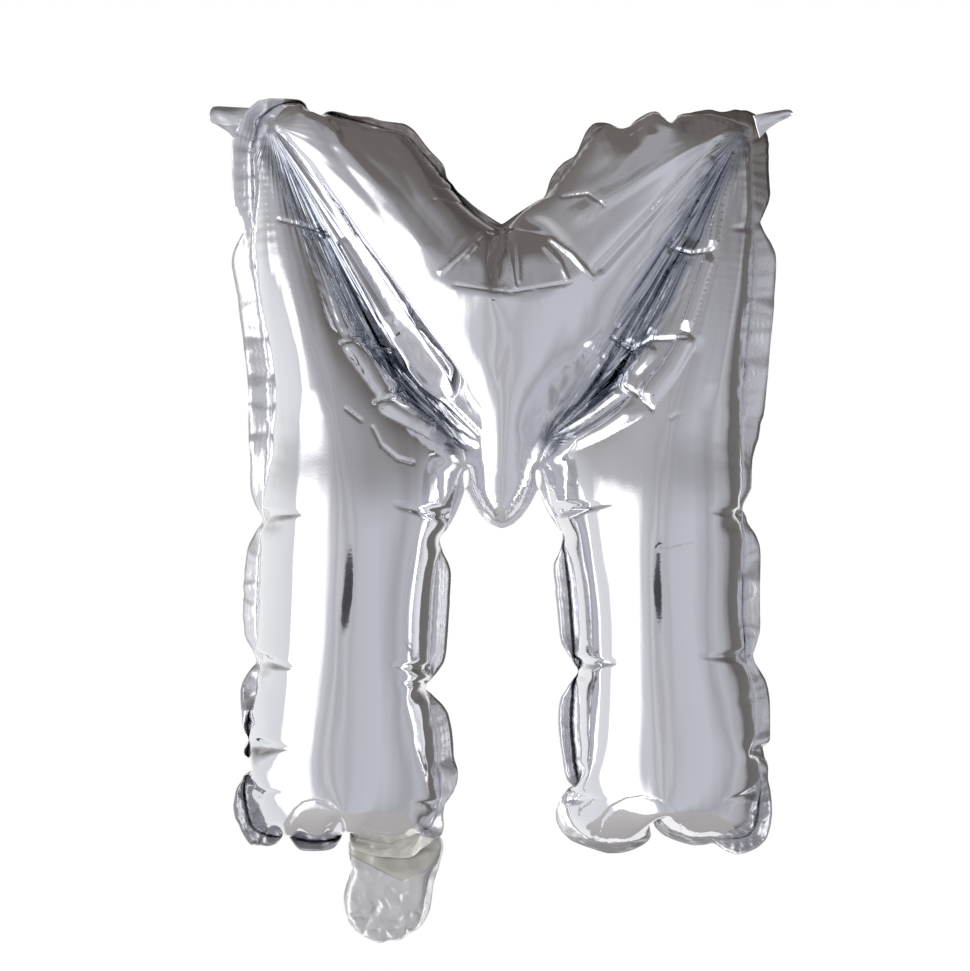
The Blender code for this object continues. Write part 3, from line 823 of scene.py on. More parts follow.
def seam_ease(middle, run, outline, more, depth):
    """Length factor near the weld: the film is longer along it, so it gathers there."""
    line = closed(outline)
    gap, share, _ = beside_line(middle, line)
    size, before = leg_lengths(line), running_length(line)
    leg = np.clip(np.searchsorted(before, share * before[-1], side="right") - 1, 0, len(size) - 1)
    along = np.diff(line, axis=0)[leg] / size[leg][:, None]
    return 1 + more * np.exp(-(gap / depth) ** 2) * (along * run).sum(axis=1) ** 2


def letter_lengths(flat, edges):
    """Lengths of the letter's film: as cut, but gathered at the weld and drawn in at the puckers, along the
    grooves and across the panel, and a little longer across the legs."""
    run = flat[edges[:, 1]] - flat[edges[:, 0]]
    size = np.linalg.norm(run, axis=1)
    run = run / (size[:, None] + 1e-9)
    middle = flat[edges].mean(axis=1)
    across = run[:, 0] ** 2
    outline = mirrored_outline(LETTER_CUT, TOP_CORNER, 2 * WELD_SPACING)
    factor = seam_ease(middle, run, outline, WELD_GATHER, WELD_GATHER_WIDTH)
    for line in both_sides(GROOVE):
        factor *= drawn_in(middle, run, line, GROOVE_TIGHT, GROOVE_TIGHT_WIDTH,
                           GROOVE_LOOSE, GROOVE_LOOSE_WIDTH, 0)
    for x, z, reach, tight in PUCKERS:
        line = np.array(((x, z), (x - reach, z)), float)
        near = np.abs(middle - line.mean(axis=0)).max(axis=1) < abs(reach) / 2 + PUCKER_MARGIN
        factor[near] *= drawn_in(middle[near], run[near], line, tight, PUCKER_WIDTH,
                                 PUCKER_LOOSE * tight, PUCKER_LOOSE_WIDTH, PUCKER_FADE)
    factor *= drawn_in(middle, run, np.array(PANEL_LINE), PANEL_TIGHT, PANEL_WIDTH, 0.0, 1.0, 0)
    legs = between(np.abs(middle[:, 0]), *LEG_X_SPAN) * between(middle[:, 1], *LEG_Z_SPAN)
    return size * factor * (1 + LEG_EASE * legs * across)


def collar_room(x, z):
    """How far forward the foil may stand under the notch: a rounded panel, slanted sides, free elsewhere."""
    down = COLLAR_TOP_Z - z
    half = 0.5 * (COLLAR_RIGHT_X - COLLAR_LEFT_X) + down
    middle = 0.5 * (COLLAR_RIGHT_X + COLLAR_LEFT_X)
    lower = COLLAR_LOW_Z - COLLAR_SAG * (1 - ((x - middle) / COLLAR_ROUND) ** 2)
    within = (np.abs(x - middle) < half) & (z > lower) & (down > -3)
    round_of = np.sqrt(np.clip(1 - ((z - COLLAR_MIDDLE_Z) / COLLAR_HEIGHT) ** 2, 0, 1))
    return np.where(within, COLLAR_DEPTH * round_of, COLLAR_FREE)


def letter_hold(foil, reach):
    """Keeps the sheets together along the grooves, under a slope beside them, and behind the panel."""
    half = np.stack([np.abs(foil.flat[:, 0]), foil.flat[:, 1]], axis=1)
    gap, share, side = beside_line(half, GROOVE)
    inside = (side > 0) & (gap < GROOVE_REACH) & (share > 0) & (share < 1)
    tied = np.nonzero((gap < reach) | inside)[0]
    room = np.interp(share[tied], GROOVE_SHARE, GROOVE_DEPTH)
    room += GROOVE_SLOPE * np.maximum(gap[tied] - reach, 0)
    x, z = foil.flat.T
    zone = np.nonzero((np.abs(x) < COLLAR_ZONE[0]) & (z > COLLAR_ZONE[1]) & foil.sheets())[0]
    side = np.where(foil.of(0)[zone], -1.0, 1.0)

    def hold(place):
        place[tied, 1] = np.clip(place[tied, 1], -room, room)
        most = collar_room(place[zone, 0], place[zone, 2])
        place[zone, 1] = side * np.minimum(side * place[zone, 1], most)

    return hold


def letter_border(outline, width):
    """Border width along the weld: full, but narrow at puckers and nicks, along the top and in the slit."""
    x, z = np.abs(outline[:, 0]), outline[:, 1]
    low = np.clip((z - SLIT_LOW_Z) / SLIT_FADE, 0, 1)
    inner = (x < INNER_X) & (z < SLIT_TOP_Z)
    wide = SIDE_BORDER * between(x, *SIDE_X_SPAN) * between(z, *SIDE_Z_SPAN)
    wide = np.where(inner, INNER_BORDER * between(z, *INNER_Z_SPAN), wide)
    full = np.where(inner & (x < SLIT_X), width + (SLIT_BORDER - width) * low, width) + wide
    gap = np.min([np.linalg.norm(outline - place[:2], axis=1) for place in PUCKERS], axis=0)
    nick = np.min([np.linalg.norm(outline - place, axis=1) for place in NICKS], axis=0)
    near = np.minimum(np.clip(gap / PUCKER_REACH, 0, 1), np.clip(nick / NICK_REACH, 0, 1))
    lobe = PUCKER_BORDER + (1 - PUCKER_BORDER) * np.sin(0.5 * np.pi * near)
    top = between(z, *TOP_Z_SPAN) * between(x, *TOP_X_SPAN)
    return full * lobe * (1 - (1 - TOP_BORDER) * top)


def smoothed(foil, rounds):
    """Each sheet point moved half way to the middle of its neighbours, a few times over."""
    edges, _, _ = edges_of(foil.tris)
    free = foil.sheets()
    valence = np.bincount(edges.ravel(), minlength=len(foil.flat))[:, None]
    for _ in range(rounds):
        middle = neighbour_sum(foil.place, edges) / valence
        foil.place[free] = 0.5 * (foil.place[free] + middle[free])
    return foil


def round_tip(foil):
    """Rounds the middle's tip: each sheet stands out at least as far as half an ellipse across it."""
    x, down = np.abs(foil.flat[:, 0]), -foil.flat[:, 1]
    share = np.clip(x / np.interp(down, TIP_DOWN, TIP_HALF), 0, 1)
    least = np.interp(down, TIP_DOWN, TIP_DEPTH, left=0.0) * np.sqrt(1 - share ** 2)
    front, back = foil.of(0), foil.of(1)
    y = foil.place[:, 1]
    y[front] = np.minimum(y[front], -least[front])
    y[back] = np.maximum(y[back], least[back])


def nudge(foil):
    """Moves the foil a little round each of the places where it is pushed about."""
    for x, z, reach, move_x, move_z in NUDGES:
        share = np.exp(-((foil.place[:, 0] - x) ** 2 + (foil.place[:, 2] - z) ** 2) / reach ** 2)
        foil.place[:, 0] += move_x * share
        foil.place[:, 2] += move_z * share


def blown_letter(width):
    """The letter's two sheets and border, blown up coarse and then fine."""
    outline = mirrored_outline(LETTER_CUT, TOP_CORNER, WELD_SPACING)
    foil = flat_foil(outline, letter_border(outline, width), WELD_SPACING, 3)
    for level, (steps, push, keep) in enumerate(LETTER_BLOW):
        if level:
            foil = finer(foil)
        hold = letter_hold(foil, TIED_WIDTH * WELD_SPACING / 2 ** level)
        blow_up(foil, letter_lengths, hold, steps, push, keep)
    round_tip(foil)
    foil.place[:, 0] += HANGS_ASIDE
    nudge(foil)
    return smoothed(finer(foil, smooth=True), SMOOTH_ROUNDS)


def soft_noise(x, z, cell_x, cell_z, seed):
    """Values from -1 to 1 on a random grid of cells, joined smoothly across each cell."""
    cells = NOISE_CELLS
    grid = np.random.default_rng(seed).uniform(-1, 1, (cells, cells))
    x, z = x / cell_x + NOISE_SHIFT, z / cell_z + NOISE_SHIFT
    i, j = np.floor(x).astype(int), np.floor(z).astype(int)
    u, v = x - i, z - j
    u, v = u * u * (3 - 2 * u), v * v * (3 - 2 * v)
    here, right = i % cells, (i + 1) % cells
    down, above = j % cells, (j + 1) % cells
    low = grid[here, down] * (1 - u) + grid[right, down] * u
    high = grid[here, above] * (1 - u) + grid[right, above] * u
    return low * (1 - v) + high * v


def weld_lines(foil, outline):
    """Distance of each flat point to the weld, and how far along the weld it lies."""
    line = closed(outline)
    gap, share, _ = beside_line(foil.flat, line)
    return gap, share * leg_lengths(line).sum()


def fold_heights(x, z, folds, profile):
    """Sum of the folds' heights at places in the front view, and which places lie in a narrow fold."""
    points = np.stack([x, z], axis=1)
    total, fine = np.zeros(len(x)), np.zeros(len(x), bool)
    for line, half, height in folds:
        line = np.array(line, float)
        low, high = line.min(axis=0) - max(half), line.max(axis=0) + max(half)
        near = np.nonzero(((points > low) & (points < high)).all(axis=1))[0]
        if not len(near):
            continue
        gap, share, _ = beside_line(points[near], line)
        width = np.interp(share, (0, 1), half)
        size = leg_lengths(line).sum()
        end = 1.0
        if size > 6 * max(half):
            end = np.clip(np.minimum(share, 1 - share) * size / (1.5 * width), 0, 1)
        across = gap / width
        total[near] += np.interp(share, (0, 1), height) * profile(np.clip(across, 0, 1)) * end
        fine[near] |= (across < FINE_MARGIN) & (max(half) < FINE_FOLD)
    return total, fine


def rounded(across):
    """A fold like the half of a tube, with a narrow valley on each side."""
    return (1 - across ** 2) ** 0.8


def ridged(across):
    """A fold with a sharp edge and straight sides."""
    return 1 - across


def all_folds(x, z):
    """Heights of the rounded and the sharp folds together, and which places lie in a narrow one."""
    soft, soft_fine = fold_heights(x, z, ROUND_FOLDS, rounded)
    sharp, sharp_fine = fold_heights(x, z, SHARP_FOLDS, ridged)
    return soft + sharp, soft_fine | sharp_fine


def front_view(foil):
    """Places in the front view, of the back sheet as seen from behind."""
    x = foil.place[:, 0] - HANGS_ASIDE
    return np.where(foil.of(1), -x, x) + HANGS_ASIDE, foil.place[:, 2]


def finer_at_folds(foil):
    """Splits the triangles where narrow folds will be."""
    fine = all_folds(*front_view(foil))[1] & foil.sheets()
    edges, _, _ = edges_of(foil.tris)
    return split_where(foil, fine[edges].all(axis=1))


def weld_crimps(gap, run):
    """Short crimps square to the weld, of uneven spacing and height, that fade a few millimetres inwards."""
    phase = run / CRIMP_SPACING
    for size, length in CRIMP_WANDER:
        phase = phase + size * np.sin(run / length)
    high = np.clip(0.55 + 0.6 * soft_noise(run, 0 * run, *CRIMP_NOISE), 0, 1.2)
    return np.cos(2 * np.pi * phase) * high * np.exp(-gap / CRIMP_FADE) * (1 - np.exp(-gap / CRIMP_START))


def add_relief(foil, outline, pleat, crimp):
    """Lifts the sheets along their normals: folds, crimps and long shallow dents. Gives the film's marks: the
    crumpled share beside the weld, and the two fans of pleats."""
    gap, run = weld_lines(foil, outline)
    x, z = front_view(foil)
    folds = all_folds(x, z)[0]
    dents = soft_noise(x, z, *LONG_DENTS) + 0.6 * soft_noise(x + 0.4 * z, z, *SLANTED_DENTS)
    lift = pleat * folds + crimp * weld_crimps(gap, run)
    lift = lift + DENT_HEIGHT * dents * np.clip(gap / DENT_FADE, 0, 1)
    sheets = foil.tris[foil.part < 2]
    normal = normals_of(foil.place, sheets, len(foil.flat))
    normal /= np.linalg.norm(normal, axis=1, keepdims=True) + 1e-12
    lift = np.where(foil.sheets(), lift * np.clip(gap / RELIEF_FADE, 0, 1), 0)
    foil.place += normal * lift[:, None]
    flat = np.stack([np.abs(foil.flat[:, 0]), foil.flat[:, 1]], axis=1)
    off, share, _ = beside_line(flat, GROOVE)
    bundle = np.exp(-(off / np.interp(share, BUNDLE_SHARE, BUNDLE_HALF)) ** 4)
    bundle = bundle * np.clip(share / BUNDLE_FADE, 0, 1)
    fans = [fan_marks(x, z, points, bundle) for points in (FAN_POINTS, KNOT_POINTS)]
    return np.exp(-gap / CRUMPLE_FADE), *fans


def fan_marks(x, z, points, bundle):
    """For each place: turn round the near point of the two, distance to it in metres, share of a bundle."""
    left = x < FAN_MIDDLE
    across = np.where(left, x - points[0][0], points[1][0] - x)
    up = z - np.where(left, points[0][1], points[1][1])
    return np.stack([np.arctan2(across, -up), np.hypot(across, up) * MM, bundle], axis=1)


def placed(name, data):
    """An object with this data, put in the scene."""
    thing = bpy.data.objects.new(name, data)
    bpy.context.scene.collection.objects.link(thing)
    return thing


def new_piece(name, points, tris, material, flat=None, marks=None):
    """A mesh piece from points in millimetres and triangles, with the flat cut as its UV map, in metres, and
    the crumpled share and the two fans of pleats as its marks."""
    mesh = bpy.data.meshes.new(name)
    mesh.vertices.add(len(points))
    mesh.vertices.foreach_set("co", (points * MM).astype(np.float32).ravel())
    mesh.loops.add(tris.size)
    mesh.loops.foreach_set("vertex_index", tris.astype(np.int32).ravel())
    mesh.polygons.add(len(tris))
    mesh.polygons.foreach_set("loop_start", np.arange(0, tris.size, tris.shape[1], dtype=np.int32))
    mesh.update(calc_edges=True)
    mesh.validate()
    mesh.shade_smooth()
    if flat is not None:
        layer = mesh.uv_layers.new(name="flat")
        layer.data.foreach_set("uv", (flat[tris.ravel()] * MM).astype(np.float32).ravel())
    if marks is not None:
        attribute = mesh.attributes.new("crumple", "FLOAT", "POINT")
        attribute.data.foreach_set("value", marks[0].astype(np.float32))
        for mark, values in zip(("fan", "knot"), marks[1:]):
            attribute = mesh.attributes.new(mark, "FLOAT_VECTOR", "POINT")
            attribute.data.foreach_set("vector", values.astype(np.float32).ravel())
    mesh.materials.append(material)
    return placed(name, mesh)


def foil_piece(name, foil, part, marks, material):
    """One part of the blown-up foil as a piece of its own."""
    tris = foil.tris[foil.part == part]
    used, tris = np.unique(tris, return_inverse=True)
    marks = [values[used] for values in marks]
    return new_piece(name, foil.place[used], tris.reshape(-1, 3), material, foil.flat[used], marks)


def thicken(piece, thickness):
    """Gives a sheet its thickness, half to each side."""
    solid = piece.modifiers.new("thickness", "SOLIDIFY")
    solid.thickness = thickness
    solid.offset = 0.0
    return piece


class Socket:
    """A node's output. Sums, products and comparisons with it add Math nodes."""

    def __init__(self, shade, socket):
        self.shade, self.socket = shade, socket

    def math(self, operation, *others):
        return self.shade.node("ShaderNodeMath", {"operation": operation}, dict(enumerate((self, *others))))

    def __add__(self, other):
        return self.math("ADD", other)

    __radd__ = __add__

    def __sub__(self, other):
        return self.math("SUBTRACT", other)

    def __rsub__(self, other):
        return self * -1.0 + other

    def __mul__(self, other):
        return self.math("MULTIPLY", other)

    __rmul__ = __mul__

    def __truediv__(self, other):
        return self.math("DIVIDE", other)

    def __lt__(self, other):
        return self.math("LESS_THAN", other)

    def __gt__(self, other):
        return self.math("GREATER_THAN", other)

    def __abs__(self):
        return self.math("ABSOLUTE")

    def clamped(self):
        """Kept between 0 and 1."""
        return self.math("MAXIMUM", 0.0).math("MINIMUM", 1.0)

    def fading(self, length):
        """1 at nought, and smaller by the same factor with each such length."""
        return (self * -1.0 / length).math("EXPONENT")


class Shade:
    """A node tree in the making."""

    def __init__(self, tree):
        self.tree = tree
        tree.nodes.clear()

    def node(self, kind, settings=None, sockets=None, out=0):
        """Adds a node: its settings first, a ramp's stops among them, then its sockets' values or links."""
        node = self.tree.nodes.new(kind)
        for key, value in (settings or {}).items():
            if key == "stops":
                ramp = node.color_ramp.elements
                while len(ramp) < len(value):
                    ramp.new(0.5)
                for stop, (place, colour) in zip(ramp, value):
                    stop.position, stop.color = place, (*colour, 1)
            else:
                setattr(node, key, value)
        for key, value in (sockets or {}).items():
            if isinstance(value, Socket):
                self.tree.links.new(value.socket, node.inputs[key])
            else:
                node.inputs[key].default_value = value
        return Socket(self, node.outputs[out]) if node.outputs else None

    def parts(self, vector):
        """The three numbers of a vector."""
        split = self.node("ShaderNodeSeparateXYZ", None, {0: vector}).socket.node.outputs
        return [Socket(self, output) for output in split]

    def mark(self, name, out):
        """A mark of the mesh: its second output holds three numbers, its third a single one."""
        return self.node("ShaderNodeAttribute", {"attribute_name": name}, None, out)

    def cloud(self, place, scale, detail):
        """Soft uneven noise."""
        return self.node("ShaderNodeTexNoise", None, {"Vector": place, "Scale": scale, "Detail": detail})

    def creases(self, place, scale, detail, finer_by=2.0):
        """Noise with sharp branching ridges, each layer finer than the last by a factor."""
        return self.node("ShaderNodeTexNoise", {"noise_type": "RIDGED_MULTIFRACTAL"}, {
            "Vector": place, "Scale": scale, "Detail": detail, "Lacunarity": finer_by})

    def bump(self, height, depth, strength=1.0):
        """The surface's normal, tilted by a relief whose height of 1 is this deep in metres."""
        return self.node("ShaderNodeBump", None, {"Strength": strength, "Distance": depth, "Height": height})

    def ramp(self, stops, place):
        """A colour by place along a row of stops."""
        return self.node("ShaderNodeValToRGB", {"stops": stops}, {0: place})

    def pleats(self, marks, spacing, seed):
        """Height of pleats that run together in a point, with a slope of 1: straight, uneven and sharp."""
        turn, away, _ = marks
        place = turn * (1 / spacing) + seed
        wave = self.node("ShaderNodeTexVoronoi", {"voronoi_dimensions": "1D"}, {"W": place, "Scale": 1.0})
        return wave * away * spacing

    def mix(self, factor, one, two, blend="MIX"):
        """A colour between two colours, or one colour laid over another."""
        settings = {"data_type": "RGBA", "blend_type": blend}
        return self.node("ShaderNodeMix", settings, {0: factor, 6: one, 7: two}, 2)


def new_shade(name):
    """A new material and its node tree."""
    material = bpy.data.materials.new(name)
    material.use_nodes = True
    return material, Shade(material.node_tree)


def surface(shade, sockets):
    """The principled shader with these sockets, as the material's surface."""
    shader = shade.node("ShaderNodeBsdfPrincipled", None, sockets)
    shade.node("ShaderNodeOutputMaterial", None, {"Surface": shader})


def film_textures(shade):
    """What all of the mirror film shares: place on the flat cut, crumpled share, haze, creases and grain."""
    flat = shade.node("ShaderNodeUVMap", {"uv_map": "flat"})
    mask = shade.mark("crumple", 2)
    haze, grain = shade.cloud(flat, HAZE_SCALE, 3.0), shade.cloud(flat, GRAIN_SCALE, 2.0)
    return flat, mask, haze, shade.creases(flat, CREASE_SCALE, 2.0, 2.2), grain


def film_roughness(haze, mask, gloss):
    """Roughness of the mirror film: a little more in the haze and where it is crumpled."""
    return haze * 0.05 + mask * 0.06 + (gloss - 0.02)


def pleated_foil(name, tint, gloss):
    """The letter's sheets: a near mirror with long facets from the top corners, bundles of fine pleats down
    the grooves, a faint haze and small creases near the weld. The bundles and their pleat valleys carry
    painted shade, a little darker and bluer, and a dark painted shade where they run together by the middle's
    tip."""
    material, shade = new_shade(name)
    flat, mask, haze, creases, grain = film_textures(shade)
    fan, knot = (shade.parts(shade.mark(mark, 1)) for mark in ("fan", "knot"))
    across, up, _ = shade.parts(flat)
    lying = shade.node("ShaderNodeCombineXYZ", None, {0: across * STREAKS[0], 1: up * STREAKS[1]})
    streaks = shade.node("ShaderNodeTexNoise", {"noise_dimensions": "2D"}, {
        "Vector": lying, "Scale": 1.0, "Detail": 2.0})
    facets = shade.node("ShaderNodeTexNoise", {"noise_dimensions": "1D"}, {
        "W": fan[0] * (1 / FACET_TURN), "Scale": 1.0, "Detail": 0.0})
    facets = facets * fan[1] * (FACET_TURN * FACET_SLOPE) * fan[1].fading(FAN_LENGTH)
    coarse = shade.pleats(fan, PLEAT_TURN, 5.1)
    wide = coarse * PLEAT_SLOPE + shade.pleats(fan, FINE_TURN, 9.7) * FINE_SLOPE
    low = shade.pleats(knot, KNOT_TURN, 3.3) * PLEAT_SLOPE + shade.pleats(knot, FINE_TURN, 7.9) * FINE_SLOPE
    valley = coarse / (fan[1] * PLEAT_TURN + 1e-4)
    bundle = fan[2]
    from_knot = knot[1].fading(KNOT_LENGTH) * bundle
    height = facets + wide * (bundle - from_knot) + low * from_knot + streaks * (STREAKS[2] / STREAKS[0])
    height = height * (1 / FOIL_DEPTH) + creases * (mask * 0.3 + bundle * 0.03 + 0.015) + grain * 0.02
    # Painted shade: the bundles and their pleat valleys darker and bluer, darkest where they run together
    deep = tuple(c * tone for c, tone in zip(tint, BUNDLE_PAINTED_SHADE))
    colour = shade.mix(bundle * (haze + valley) * 1.1, (*tint, 1), (*deep, 1))
    surface(shade, {
        "Base Color": shade.mix(from_knot * (haze + valley), colour, (*KNOT_PAINTED_SHADE, 1)), "Metallic": 1.0,
        "Roughness": film_roughness(haze, mask, gloss), "Normal": shade.bump(height, FOIL_DEPTH)})
    return material


def mirror_foil(name, tint, gloss, crumpled):
    """Metallised film: a near mirror with a faint haze, fine scuffs, and creases where it is crumpled."""
    material, shade = new_shade(name)
    _, mask, haze, creases, grain = film_textures(shade)
    height = creases * (mask * crumpled + 0.02) + grain * 0.03
    surface(shade, {
        "Base Color": (*tint, 1), "Metallic": 1.0,
        "Roughness": film_roughness(haze, mask, gloss), "Normal": shade.bump(height, FOIL_DEPTH)})
    return material


def welded_foil(name, tint, gloss):
    """The welded border: hazier film with pressed lines that run with the weld, and fine creases. It has a
    painted brown reflection along the top, painted grey shade under the legs and low at the outer corners,
    and is beige over the tail's root."""
    material, shade = new_shade(name)
    flat = shade.node("ShaderNodeUVMap", {"uv_map": "flat"})
    out = shade.mark("crumple", 2).math("MAXIMUM", 0.01).math("LOGARITHM", math.e) * -1.0
    lines = (out * PRESSED_LINES).math("SINE")
    cloud = shade.cloud(flat, BORDER_CLOUD_SCALE, 3.0)
    creases = shade.creases(flat, BORDER_CREASE_SCALE, 3.0)
    across, up, _ = shade.parts(flat)
    # Where painted grey shade goes: under the legs and low at the outer corners
    corner = (up < CORNER_SHADE_Z) * (abs(across) > CORNER_SHADE_X)
    low = (up < UNDER_SHADE_Z).math("MAXIMUM", corner)
    height = lines * 0.07 + creases * (low * 0.5 + 0.4)
    # Where the painted brown reflection goes: along the top
    top = ((up - TOP_REFLECTION_Z) * TOP_REFLECTION_FADE).clamped() * (across > TOP_REFLECTION_X)
    at_tail = low * (abs(across - TAIL_X) < TAIL_HALF)
    dark = tuple(0.85 * c for c in tint)
    # Painted grey shade laid over the cloudy film, then beige over the tail's root
    film_with_painted_shade = shade.mix(low * 0.75, shade.mix(cloud, (*dark, 1), (*tint, 1)), (*UNDER_PAINTED_SHADE, 1))
    film_with_painted_shade = shade.mix(at_tail, film_with_painted_shade, (*POUCH_TINT, 1))
    surface(shade, {
        "Base Color": shade.mix(top, film_with_painted_shade, (*TOP_PAINTED_REFLECTION, 1)), "Metallic": at_tail * -0.5 + 0.9,
        "Roughness": cloud * 0.2 + at_tail * 0.2 + gloss, "Normal": shade.bump(height, BORDER_DEPTH)})
    return material


def film_sheet(name, tint, low_tint, metallic, gloss):
    """Film of the tail: soft gloss, creases, uneven colour, another tone below the pouch's slanted edge."""
    material, shade = new_shade(name)
    flat = shade.node("ShaderNodeUVMap", {"uv_map": "flat"})
    across, up, _ = shade.parts(flat)
    below = ((abs(across - TAIL_X) * POUCH_SLOPE + POUCH_Z - up) * POUCH_SHARPNESS + 0.5).clamped()
    cloud = shade.cloud(flat, TAIL_CLOUD_SCALE, 4.0)
    facets = shade.node("ShaderNodeTexVoronoi", {"feature": "F1"}, {
        "Vector": flat, "Scale": TAIL_FACET_SCALE})
    height = shade.creases(flat, TAIL_CREASE_SCALE, 3.0) * 0.22 + facets * 0.5 + below * 0.25
    colour = shade.mix(below, (*tint, 1), (*low_tint, 1))
    surface(shade, {
        "Base Color": shade.mix(cloud * 0.35, colour, (*TAIL_SHADE, 1)), "Metallic": metallic,
        "Roughness": cloud * 0.16 + gloss, "Normal": shade.bump(height, TAIL_DEPTH)})
    return material


def tail_lengths(flat, edges):
    """Lengths of the tail's film: as cut, but longer here and there, so that it crumples."""
    run = flat[edges[:, 1]] - flat[edges[:, 0]]
    x, z = flat[edges].mean(axis=1).T
    longer = sum(soft_noise(x, z, *crumple) for crumple in TAIL_CRUMPLES)
    low = between(z, *TAIL_SLACK_Z_SPAN)
    return np.linalg.norm(run, axis=1) * (1 + TAIL_SLACK * longer * (0.5 + low))


def tail_hold(foil):
    """Keeps the tail's root flat between the two sheets of the border, and its end almost flat."""
    room = np.where(foil.sheets(), np.interp(-foil.flat[:, 1], TAIL_DOWN, TAIL_ROOM), 1.0)

    def hold(place):
        place[:, 1] = np.clip(place[:, 1], -room, room)

    return hold


def blown_tail():
    """The tail as a small slack pouch, blown up a little."""
    outline = even_points(corners_cut(closed(np.array(TAIL_CUT, float))), TAIL_SPACING)[:-1]
    right = between(outline[:, 0], *TAIL_FILM_X_SPAN) * between(outline[:, 1], *TAIL_FILM_Z_SPAN)
    foil = flat_foil(outline, TAIL_BORDER + TAIL_FILM * right, TAIL_SPACING, 4)
    for level, (steps, push, keep) in enumerate(TAIL_BLOW):
        if level:
            foil = finer(foil)
        blow_up(foil, tail_lengths, tail_hold(foil), steps, push, keep)
    x, z = foil.flat.T
    foil.place[:, 1] -= TAIL_FORWARD * between(z, *TAIL_FORWARD_Z_SPAN)
    dome_x, dome_z, radius, height = TAIL_DOME
    dome = np.exp(-((x - dome_x) ** 2 + (0.6 * (z - dome_z)) ** 2) / radius ** 2)
    foil.place[foil.of(0), 1] -= height * dome[foil.of(0)]
    return finer(foil, smooth=True)


def tongue(name, root, tip, edges, curl, material):
    """A tab as a strip from root to tip, between an upper and a lower edge. Its upper part is rolled forward
    by curl, and what hangs under that part is flat and turned a little to the front."""
    along = np.linspace(0, 1, TAB_ROWS)[:, None]
    share = np.linspace(0, 1, TAB_COLUMNS)[None, :]
    upper, lower = (np.interp(along, TAB_STEPS, edge) for edge in edges)
    run = np.array(tip, float) - np.array(root, float)
    unit = run / np.linalg.norm(run)
    side = np.array((-unit[2], 0.0, unit[0]))
    side *= np.sign(side[2])
    height = upper + (lower - upper) * share
    rolled = np.clip((upper - height) / (upper - lower[-4]), 0, 1)
    rise = curl * along ** 0.5 * (np.sin(np.pi * rolled) - 0.2)
    wave = TAB_WAVE * np.sin(9 * along + 5 * share)
    place = np.array(root, float) + along[..., None] * run + height[..., None] * side
    place[..., 1] -= rise + wave * along + TAB_TURN * along * np.clip((upper - height) / 8 - 1, 0, 2)
    index = np.arange(TAB_ROWS * TAB_COLUMNS).reshape(TAB_ROWS, TAB_COLUMNS)
    corners = [index[:-1, :-1], index[:-1, 1:], index[1:, 1:], index[1:, :-1]]
    faces = np.stack(corners, axis=-1).reshape(-1, 4)
    if unit[0] > 0:
        faces = faces[:, ::-1]
    flat = np.stack([(root[0] + along * run[0]) + 0 * share, root[2] + height], axis=-1).reshape(-1, 2)
    marks = [np.full(index.size, 0.5)]
    return thicken(new_piece(name, place.reshape(-1, 3), faces, material, flat, marks), TAB_THICKNESS * MM)


def greys(pairs):
    """A ramp's stops in grey, from places and values."""
    return [(place, (value,) * 3) for place, value in pairs]


def studio_world(strength, room):
    """White behind the letter. What the foil mirrors is a ring of greys by compass direction, with a white
    softbox at the front left and a dark corner at the right, under a dark ceiling that is brown straight
    overhead, and a dark spot ahead of the letter."""
    world = bpy.data.worlds.new("studio")
    bpy.context.scene.world = world
    world.use_nodes = True
    shade = Shade(world.node_tree)
    way = shade.node("ShaderNodeTexCoord")
    x, y, z = shade.parts(way)
    turn = x.math("ARCTAN2", 0.0 - y) * (0.5 / math.pi) + 0.5
    rise = z.math("ARCSINE") / math.pi + 0.5
    lit = shade.mix(1.0, shade.ramp(ROOM_RING, turn), (room, room, room, 1), "MULTIPLY")
    lit = shade.mix(shade.ramp(greys(CEILING_RISE), rise), lit, shade.ramp(CEILING_RING, turn))
    lit = shade.mix(shade.ramp(greys(OVERHEAD_RISE), rise), lit, (*OVERHEAD_BROWN, 1))
    box = shade.ramp(greys(SOFTBOX_RING), turn) * shade.ramp(greys(SOFTBOX_RISE), rise)
    lit = shade.mix(box, lit, (strength, strength, strength, 1))
    higher = (z - SPOT_RISE) * SPOT_SLIMNESS
    spot = (x * x + higher * higher < SPOT_SIZE ** 2) * (y < 0.0)
    lit = shade.mix(spot, lit, (*SPOT_COLOUR, 1))
    seen = shade.node("ShaderNodeLightPath")
    lit = shade.mix(seen, lit, (1.0, 1.0, 1.0, 1))
    glow = shade.node("ShaderNodeBackground", None, {"Color": lit, "Strength": 1.0})
    shade.node("ShaderNodeOutputWorld", None, {"Surface": glow})


def pale_floor(colour):
    """A round pale floor under the hanging letter: a flat disc of rings, with a fine matt grain and a faint
    glow for the light that the room throws on it."""
    radius = np.linspace(0.0, FLOOR_RADIUS, FLOOR_RINGS)[1:, None]
    angle = np.linspace(0, 2 * np.pi, FLOOR_SPOKES, endpoint=False)[None, :]
    x, y = (radius * np.cos(angle)).ravel(), (radius * np.sin(angle)).ravel()
    place = np.stack([np.append(x, 0.0), np.append(y, 0.0), np.full(len(x) + 1, FLOOR_Z)], axis=1)
    index = np.arange(len(x)).reshape(FLOOR_RINGS - 1, FLOOR_SPOKES)
    turned = np.roll(index, -1, axis=1)
    lower = np.stack([index[:-1], index[1:], turned[1:]], axis=-1).reshape(-1, 3)
    upper = np.stack([index[:-1], turned[1:], turned[:-1]], axis=-1).reshape(-1, 3)
    centre = np.stack([np.full(FLOOR_SPOKES, len(x)), index[0], turned[0]], axis=-1)
    material, shade = new_shade("pale_floor")
    grain = shade.cloud(shade.node("ShaderNodeTexCoord", None, None, 3), FLOOR_GRAIN_SCALE, 3.0)
    surface(shade, {
        "Base Color": (*colour, 1), "Roughness": grain * 0.2 + 0.6, "Normal": shade.bump(grain, 0.001, 0.2),
        "Emission Color": (*colour, 1), "Emission Strength": FLOOR_GLOW})
    new_piece("floor", place / MM, np.concatenate([lower, upper, centre]), material)


